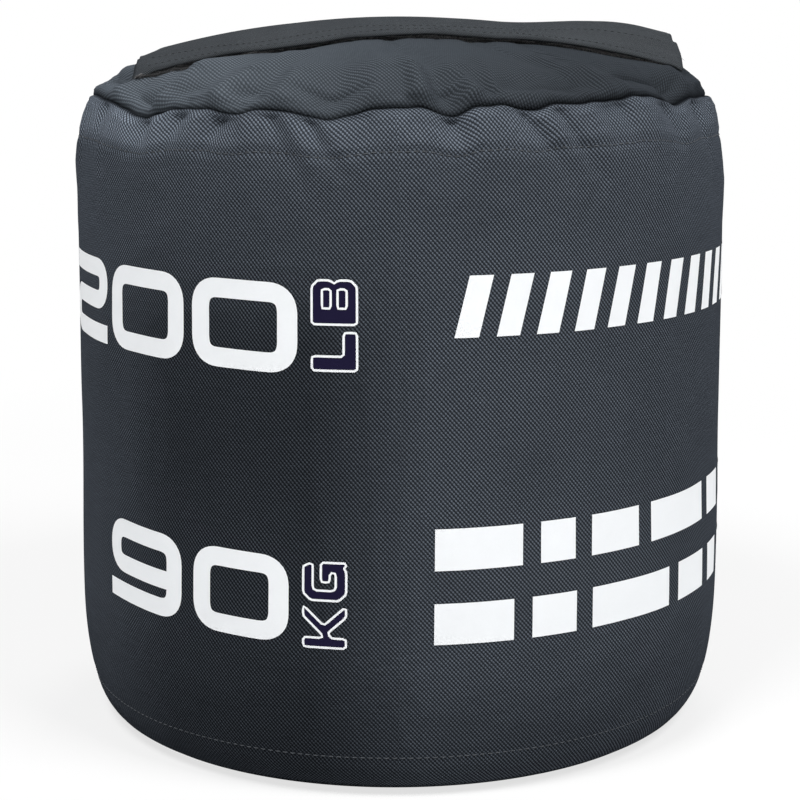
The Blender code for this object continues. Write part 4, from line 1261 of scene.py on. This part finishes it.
class Finish:
    """One material, with a method that adds a node of any kind."""

    def __init__(self, name, **constants):
        self.material = bpy.data.materials.new(name)
        self.material.use_nodes = True
        self.tree = self.material.node_tree
        self.shader = self.tree.nodes["Principled BSDF"]
        for socket, value in constants.items():
            self.shader.inputs[socket.replace("_", " ")].default_value = value

    def node(self, kind, settings=None, values=(), output=0):
        """Adds a node. Values go to sockets by name, or by order where they are a list."""
        made = self.tree.nodes.new(kind)
        for key, setting in (settings or {}).items():
            setattr(made, key, setting)
        pairs = values.items() if isinstance(values, dict) else enumerate(values)
        for key, value in pairs:
            if isinstance(value, Value):
                self.tree.links.new(value.socket, made.inputs[key])
            else:
                made.inputs[key].default_value = value
        return Value(self, made.outputs[output])

    def feed(self, socket, value):
        self.tree.links.new(value.socket, self.shader.inputs[socket])

    def noise(self, where, scale, detail):
        return self.node("ShaderNodeTexNoise", {}, {"Vector": where, "Scale": scale, "Detail": detail})

    def mix(self, factor, first, second):
        """A colour between two, by a factor."""
        sockets = {0: factor, 6: first, 7: second}
        return self.node("ShaderNodeMix", {"data_type": "RGBA"}, sockets, output=2)

    def range(self, value, low, high, to_low=0.0, to_high=1.0):
        settings = {"interpolation_type": "SMOOTHSTEP"}
        return self.node("ShaderNodeMapRange", settings, [value, low, high, to_low, to_high])

    def bump(self, height, strength, distance):
        sockets = {"Height": height, "Strength": strength, "Distance": distance}
        self.feed("Normal", self.node("ShaderNodeBump", {}, sockets))

    def thread(self):
        """The place in the flat cloth, then its two directions in millimetres, and its painted light and
        shade.
        """
        place = self.node("ShaderNodeAttribute", {"attribute_name": "thread"}, output=1)
        parts = self.node("ShaderNodeSeparateXYZ", {}, [place])
        return place, parts * 1000, parts.beside(1) * 1000, parts.beside(2)


def colour(shade, factor=1.0):
    """A shade made lighter or darker by a factor, with its alpha."""
    return (*(channel * factor for channel in shade), 1)


def cloth_finish(name, pitch, dark, light, bump=0.5, roughness=0.5, with_painted_light=True):
    """Plain weave of thick yarns: light floats and dark floats in turn, like the squares of a board.

    The pitch of its yarns is in millimetres. With painted light on, the painted light and shade scale its
    shade.
    """
    finish = Finish(name, Specular_IOR_Level=0.0, Sheen_Weight=0.03, Sheen_Roughness=0.4,
                    Sheen_Tint=colour((0.72, 0.80, 1.0)))
    place, along, up, painted_light_of = finish.thread()
    wander = finish.noise(place, 90.0, 2.0)
    along = (along + (wander - 0.5) * 0.5) * (math.pi / pitch[0])
    up = up * (math.pi / pitch[1])
    board = along.math("SINE") * up.math("SINE")
    over = finish.range(board - 0.40 * (along + up).math("COSINE"), -0.30, 0.95)
    broad = finish.noise(place, 14.0, 3.0)
    stretched = finish.node("ShaderNodeMapping", {}, {"Vector": place, "Scale": (60.0, 900.0, 1.0)})
    yarn = finish.noise(stretched, 1.0, 1.0)
    strength = over * (0.65 + 0.5 * yarn) * (0.7 + 0.6 * broad)
    shade = finish.mix(strength, colour(dark), colour(light))
    # Painted light and shade scale the colour
    if with_painted_light:
        shade = finish.node("ShaderNodeVectorMath", {"operation": "SCALE"}, {0: shade, "Scale": painted_light_of})
    finish.feed("Base Color", shade)
    finish.feed("Roughness", roughness + 0.12 * broad - 0.08 * over)
    crown = board.math("ABSOLUTE").math("POWER", 0.6)
    finish.bump(crown + 0.15 * yarn, bump, 0.0003)
    return finish.material


def plain_finish(name, shade, roughness, grain, depth, spread=0.35, **constants):
    """A fine-grained finish with some change of shade."""
    finish = Finish(name, **constants)
    place = finish.node("ShaderNodeTexCoord", {}, output=3)
    broad = finish.noise(place, grain / 12, 3.0)
    fine = finish.noise(place, grain, 4.0)
    patchy = broad * 0.6 + fine * 0.4
    finish.feed("Base Color", finish.mix(patchy, colour(shade, 1 - spread), colour(shade, 1 + spread)))
    finish.feed("Roughness", roughness + 0.15 * (fine - 0.5))
    finish.bump(fine, depth, 0.0002)
    return finish.material


def ribbed_finish(name, shade, pitch, bump):
    """Narrow ribs across a tape or a webbing."""
    finish = Finish(name, Sheen_Weight=0.1, Roughness=0.8)
    place, along, up, _ = finish.thread()
    rib = (along * (math.tau / pitch)).math("SINE") * 0.5 + 0.5
    cross = (up * (math.tau / (pitch * 1.6))).math("SINE") * 0.5 + 0.5
    fuzz = finish.noise(place, 800.0, 3.0)
    finish.feed("Base Color", finish.mix(rib * 0.6 + fuzz * 0.4, colour(shade), colour(shade, 1.8)))
    finish.bump(rib + 0.4 * cross + 0.3 * fuzz, bump, 0.0004)
    return finish.material


SHELL_PITCH = (1.21, 1.34)
SHELL = cloth_finish("shell_weave", SHELL_PITCH, (0.020, 0.023, 0.028), (0.112, 0.130, 0.156))
# The top's cloth is the shell's, with lighter dark yarns: painted light from above
LIT_TOP_SHELL = cloth_finish("top_weave", SHELL_PITCH, (0.048, 0.056, 0.065), (0.114, 0.132, 0.154))
FLAP = cloth_finish("flap_weave", (0.5, 0.55), (0.016, 0.018, 0.020), (0.090, 0.098, 0.106),
                    bump=0.25, roughness=0.6, with_painted_light=False)
LINING_CLOTH = cloth_finish("lining_weave", (0.4, 0.4), (0.014, 0.014, 0.016), (0.04, 0.04, 0.045), bump=0.2)
RIBBED = ribbed_finish("ribbed_tape", (0.012, 0.012, 0.014), 1.6, 0.6)
FUZZY = plain_finish("hook_and_loop", (0.010, 0.010, 0.011), 0.95, 2600.0, 1.0, Sheen_Weight=0.3)
FILM = plain_finish("liner_film", (0.32, 0.34, 0.36), 0.45, 300.0, 0.3)
THREAD = plain_finish("stitch_thread", (0.068, 0.074, 0.082), 0.6, 1500.0, 0.4, Specular_IOR_Level=0.1)
NAVY_INK = plain_finish("navy_ink", (0.010, 0.008, 0.030), 0.6, 700.0, 0.25, spread=0.1,
                        Specular_IOR_Level=0.05)
DARK_THREAD = plain_finish("dark_thread", (0.042, 0.046, 0.050), 0.7, 1500.0, 0.4, Specular_IOR_Level=0.1)
INK_FINISH = plain_finish("white_ink", (0.86, 0.88, 0.90), 0.5, 700.0, 0.25, spread=0.04)
PLASTIC = plain_finish("zip_plastic", (0.018, 0.018, 0.020), 0.4, 900.0, 0.2)
METAL = plain_finish("dark_metal", (0.09, 0.09, 0.095), 0.32, 500.0, 0.15, Metallic=1.0)
SAND = plain_finish("dry_sand", (0.56, 0.45, 0.31), 0.95, 1800.0, 1.0)
CORD = plain_finish("tie_cord", (0.55, 0.52, 0.46), 0.8, 1200.0, 0.6)


def dress_cad_nodes():
    """The carried-over solids get their finishes."""
    finishes = {
        "zip_teeth_front": PLASTIC, "zip_teeth_rear": PLASTIC,
        "zip_stop_left": PLASTIC, "zip_stop_right": PLASTIC,
        "zip_slider": METAL, "zip_pull": METAL, "sand_fill": SAND, "liner_neck_tie": CORD,
    }
    for node, material in finishes.items():
        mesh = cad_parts[node].data
        mesh.materials.clear()
        mesh.materials.append(material)


# Stage: a pale floor and a white surround, soft lamps, and the camera of the photograph
CAMERA_PLACE = (0.0, -1.179, 0.4218)
CAMERA_TILT = 79.06
CAMERA_ROLL = 0.3
CAMERA_LENS = 81.2
LAMPS = (
    ("lamp_left", (-0.75, -1.05, 2.25), 0.8, 42.0),
    ("lamp_right", (1.05, -0.90, 1.95), 0.8, 34.0),
    ("lamp_back", (0.5, 1.7, 1.5), 1.0, 16.0),
)
LAMP_TARGET = (0, 0, 0.25)
WORLD_LIGHT = 0.13
FLOOR_LEVEL = -0.0004


def make_camera():
    camera = add_object("camera", bpy.data.cameras.new("camera"))
    camera.data.lens = CAMERA_LENS
    camera.location = CAMERA_PLACE
    camera.rotation_euler = (math.radians(CAMERA_TILT), math.radians(CAMERA_ROLL), 0)
    bpy.context.scene.camera = camera


def make_lamps():
    for name, place, size, power in LAMPS:
        lamp = add_object(name, bpy.data.lights.new(name, "AREA"))
        lamp.data.size = size
        lamp.data.energy = power
        lamp.location = place
        to_bag = Vector(LAMP_TARGET) - lamp.location
        lamp.rotation_euler = to_bag.to_track_quat("-Z", "Y").to_euler()


def seen_directly(finish):
    """One where a ray comes straight from the camera, or by a mirror or glass, and else nought."""
    path = finish.node("ShaderNodeLightPath")
    rays = ("Is Camera Ray", "Is Glossy Ray", "Is Transmission Ray")
    camera, glossy, through = (path.beside(name) for name in rays)
    return camera.math("MAXIMUM", glossy).math("MAXIMUM", through)


class Surround(Finish):
    """The world's nodes, with the methods of a material's."""

    def __init__(self):
        world = bpy.data.worlds.new("surround")
        bpy.context.scene.world = world
        world.use_nodes = True
        self.tree = world.node_tree


def make_world():
    surround = Surround()
    background = surround.tree.nodes["Background"]
    background.inputs["Color"].default_value = (1, 1, 1, 1)
    strength = WORLD_LIGHT + seen_directly(surround) * (1 - WORLD_LIGHT)
    surround.tree.links.new(strength.socket, background.inputs["Strength"])


def make_floor():
    bpy.ops.mesh.primitive_plane_add(size=30, location=(0, 0, FLOOR_LEVEL))
    floor = bpy.context.object
    floor.name = "floor"
    finish = Finish("pale_floor", Roughness=0.9, Base_Color=(0.86, 0.86, 0.86, 1))
    place = finish.node("ShaderNodeNewGeometry")
    distance = finish.node("ShaderNodeVectorMath", {"operation": "LENGTH"}, [place], output=1)
    far = finish.range(distance, 0.35, 1.3, 0.72, 1.0)
    matt, glow = Value(finish, finish.shader.outputs[0]), finish.node("ShaderNodeEmission")
    blend = finish.node("ShaderNodeMixShader", {}, [far * seen_directly(finish), matt, glow])
    finish.tree.links.new(blend.socket, finish.tree.nodes["Material Output"].inputs["Surface"])
    floor.data.materials.append(finish.material)


make_camera()
simulate_cloth()
make_wall()
make_bottom()
make_top()
make_seam_parts()
make_flap()
make_zip_tapes()
make_liner()
make_prints()
make_stitches()
make_fuzz()
dress_cad_nodes()
make_lamps()
make_world()
make_floor()
bpy.context.scene.view_settings.view_transform = "Standard"
